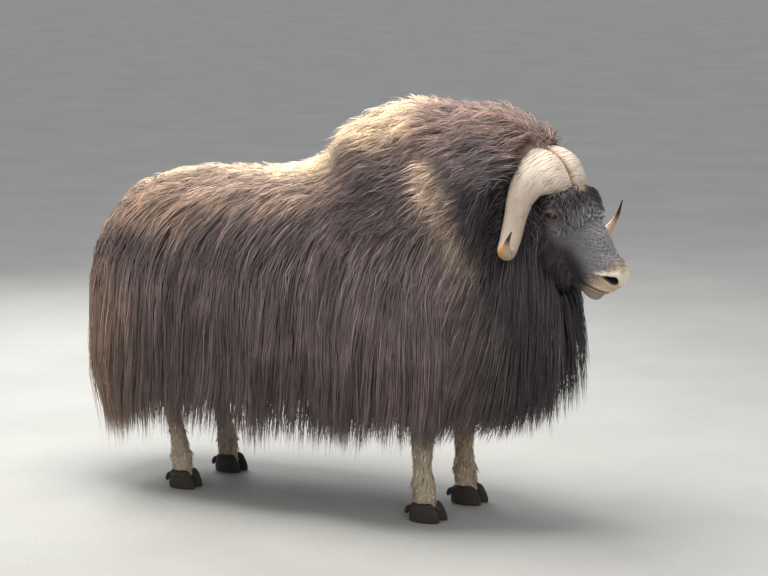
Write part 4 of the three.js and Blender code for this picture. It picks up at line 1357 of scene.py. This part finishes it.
def brow_lie(at, up, t):
    side = np.sign(to_head(at)[:, 1]) * (0.25 + 0.3 * waver(at, 52, 3.0))
    way = [0.8 + 0.2 * waver(at, 40, 1.0), side, np.full(len(at), -0.3)]
    return np.stack(way, 1) @ head_axes.T


def brow_lengths(roots):
    x, y, _ = to_head(roots).T
    middle = bump(y, 0, 0.035)
    outer = step(np.abs(y), 0.074, 0.100)
    low = 1 - 0.75 * step(x, 0.19, 0.27)
    return (0.060 - 0.022 * middle - 0.038 * outer) * low * (0.7 + 0.5 * rng.random(len(roots)))


piece = grow(
    "coat_brow", 2200, 3, brow_part, brow_lengths, even(0.020), 1.3,
    brow_lie, 0.0026, 0.012, unwrap_head, to_face_world, 0.005, 0.6,
)


def beard_part(points):
    """Under the jaw and on the throat side of the cheeks."""
    x, y, z = to_head(points).T
    return on_face(points) * (x > 0.08) * (x < 0.41) * (np.abs(y) < 0.12) * step(-z, 0.10, 0.17)


def beard_lie(at, up, t):
    return np.stack([-0.45 + 0.1 * waver(at, 30, 2.0), 0.1 * waver(at, 26, 1.0), -np.ones(len(at))], 1)


def beard_lengths(roots):
    x, _, z = to_head(roots).T
    length = np.interp(x, [0.1, 0.3, 0.38, 0.41], [0.20, 0.15, 0.07, 0.03])
    return length * (0.7 + 0.5 * rng.random(len(roots))) * (0.18 + 0.82 * step(-z, 0.11, 0.18))


piece = grow(
    "coat_beard", 2600, 3, beard_part, beard_lengths, even(0.008), 0.5,
    beard_lie, 0.0032, 0.018, unwrap_head, to_face_world, 0.006,
)


def short_fur(name, count, wanted, length, lie, width, unwrap):
    """Short hair that lies on the skin and needs no draping."""
    roots, normals = roots_on(hide.data, count, wanted)
    reach = length * (0.7 + 0.6 * rng.random(count))[:, None]
    way = lie(roots)
    way = unit_rows(way - (way * normals).sum(1)[:, None] * normals)
    lines = [roots + reach * t * way + reach * (0.42 * t - 0.22 * t * t) * normals for t in (0, 0.5, 1)]
    lines = np.stack(lines, 1) + rng.normal(0, 0.0012, (count, 3, 3)) * np.array((0, 0.5, 1))[None, :, None]
    ups = np.repeat(normals[:, None], 3, 1)
    widths = width * (0.7 + 0.6 * rng.random(count))
    made = hair_mesh(name, lines, ups, widths, unwrap, rng.random(count), np.ones(count, bool))
    wear(made, coat_material)
    return made


def leg_part(points):
    return (points[:, 2] < 0.56) & (to_legs(points) < 0.012)


def unwrap_legs(roots):
    p = roots - centring
    fore = p[:, 0] > 0
    middle = np.where(fore, 0.362, -0.640)
    turn = np.arctan2(np.abs(p[:, 1]) - STANCE, p[:, 0] - middle) / (2 * np.pi) + 0.5
    band = fore * 0.25 + (p[:, 1] > 0) * 0.5
    return (band + turn * 0.24).clip(0.002, 0.99), p[:, 2].clip(0, 0.6) / 0.62 + 0.01


def leg_lie(roots):
    return np.tile((-0.15, 0, -1.0), (len(roots), 1))


piece = short_fur("coat_legs", 6000, leg_part, 0.020, leg_lie, 0.0028, unwrap_legs)


def ear_part(points):
    local = to_head(points)
    x, y, z = local.T
    ear = (np.abs(y) > 0.085) & (np.abs(y) < 0.30) & (x < 0.095) & (z > -0.17) & (z < -0.055)
    return ear & (to_face_masses(local) > 0.012) & (to_body(points) > -0.06)


def unwrap_ears(roots):
    local = to_head(roots)
    return np.abs(local[:, 1]) * 3.2 + 0.01, (local[:, 0] + 0.05) * 3 + 0.5 * (local[:, 1] > 0)


def ear_lie(roots):
    side = np.sign(to_head(roots)[:, 1])
    return np.stack([np.full(len(roots), 0.1), side, np.full(len(roots), -0.1)], 1) @ head_axes.T


piece = short_fur("coat_ears", 2400, ear_part, 0.022, ear_lie, 0.0022, unwrap_ears)

# Floor, light and camera. A plain pale floor under soft studio light, seen from the photo's direction. The
# camera stands as far off as the perspective of the photo asks.
PHOTO_AZIMUTH, PHOTO_ELEVATION = math.radians(30), math.radians(9)
PHOTO_DISTANCE = 9.0
SENSOR_WIDTH = 36
PHOTO_FOCAL = 2610 / 768 * SENSOR_WIDTH
FLOOR_SIZE = 240
LIT_PLACE = (0, 0, 0.8)  # what the lights point at
bpy.ops.mesh.primitive_plane_add(size=FLOOR_SIZE)
floor = bpy.context.object
floor.name = "floor"
paint = Paint("floor")
speckle = paint.noise(paint.place(), 90, 4, 0.6)
worn = paint.noise(paint.place(), 1.6, 4, 0.6)
base = paint.mix(paint.between(worn, 0.3, 0.7), colour(170, 168, 162), colour(177, 175, 169))
base = paint.mix(paint.between(speckle, 0.45, 0.70) * 0.25, base, colour(138, 135, 128))
wear(floor, paint.surface(
    Base_Color=base, Roughness=0.75 + speckle * 0.15, Normal=paint.relief(speckle, 0.0006)
))

back = Vector((
    math.sin(PHOTO_AZIMUTH) * math.cos(PHOTO_ELEVATION),
    -math.cos(PHOTO_AZIMUTH) * math.cos(PHOTO_ELEVATION),
    math.sin(PHOTO_ELEVATION),
))
right = Vector((math.cos(PHOTO_AZIMUTH), math.sin(PHOTO_AZIMUTH), 0))
up = back.cross(right)
aim = Vector((0, 0, 0.70)) + right * 0.1103 + up * 0.0414 + Vector(centring)
camera_data = bpy.data.cameras.new("camera")
camera_data.lens = PHOTO_FOCAL
camera_data.sensor_width = SENSOR_WIDTH
camera_data.clip_end = 400
camera = bpy.data.objects.new("camera", camera_data)
bpy.context.scene.collection.objects.link(camera)
camera.location = aim + back * PHOTO_DISTANCE
camera.rotation_euler = back.to_track_quat("Z", "Y").to_euler()
bpy.context.scene.camera = camera


def soft_light(name, place, size, power, tint):
    light = bpy.data.lights.new(name, "AREA")
    light.shape = "DISK"
    light.size, light.energy, light.color = size, power, tint
    holder = bpy.data.objects.new(name, light)
    bpy.context.scene.collection.objects.link(holder)
    holder.location = place
    holder.rotation_euler = (Vector(place) - Vector(LIT_PLACE)).to_track_quat("Z", "Y").to_euler()


soft_light("overhead", (-0.4, -0.3, 4.4), 3.0, 230, (1.0, 0.985, 0.96))
soft_light("front_right", (3.2, -3.6, 2.6), 2.4, 50, (1.0, 0.99, 0.97))
soft_light("behind_left", (-3.4, 2.4, 3.0), 2.4, 140, (0.96, 0.98, 1.0))
world = bpy.data.worlds.new("studio")
world.use_nodes = True
world.node_tree.nodes["Background"].inputs["Color"].default_value = (0.90, 0.94, 1.0, 1)
world.node_tree.nodes["Background"].inputs["Strength"].default_value = 0.65
bpy.context.scene.world = world
bpy.context.scene.view_settings.view_transform = "Standard"
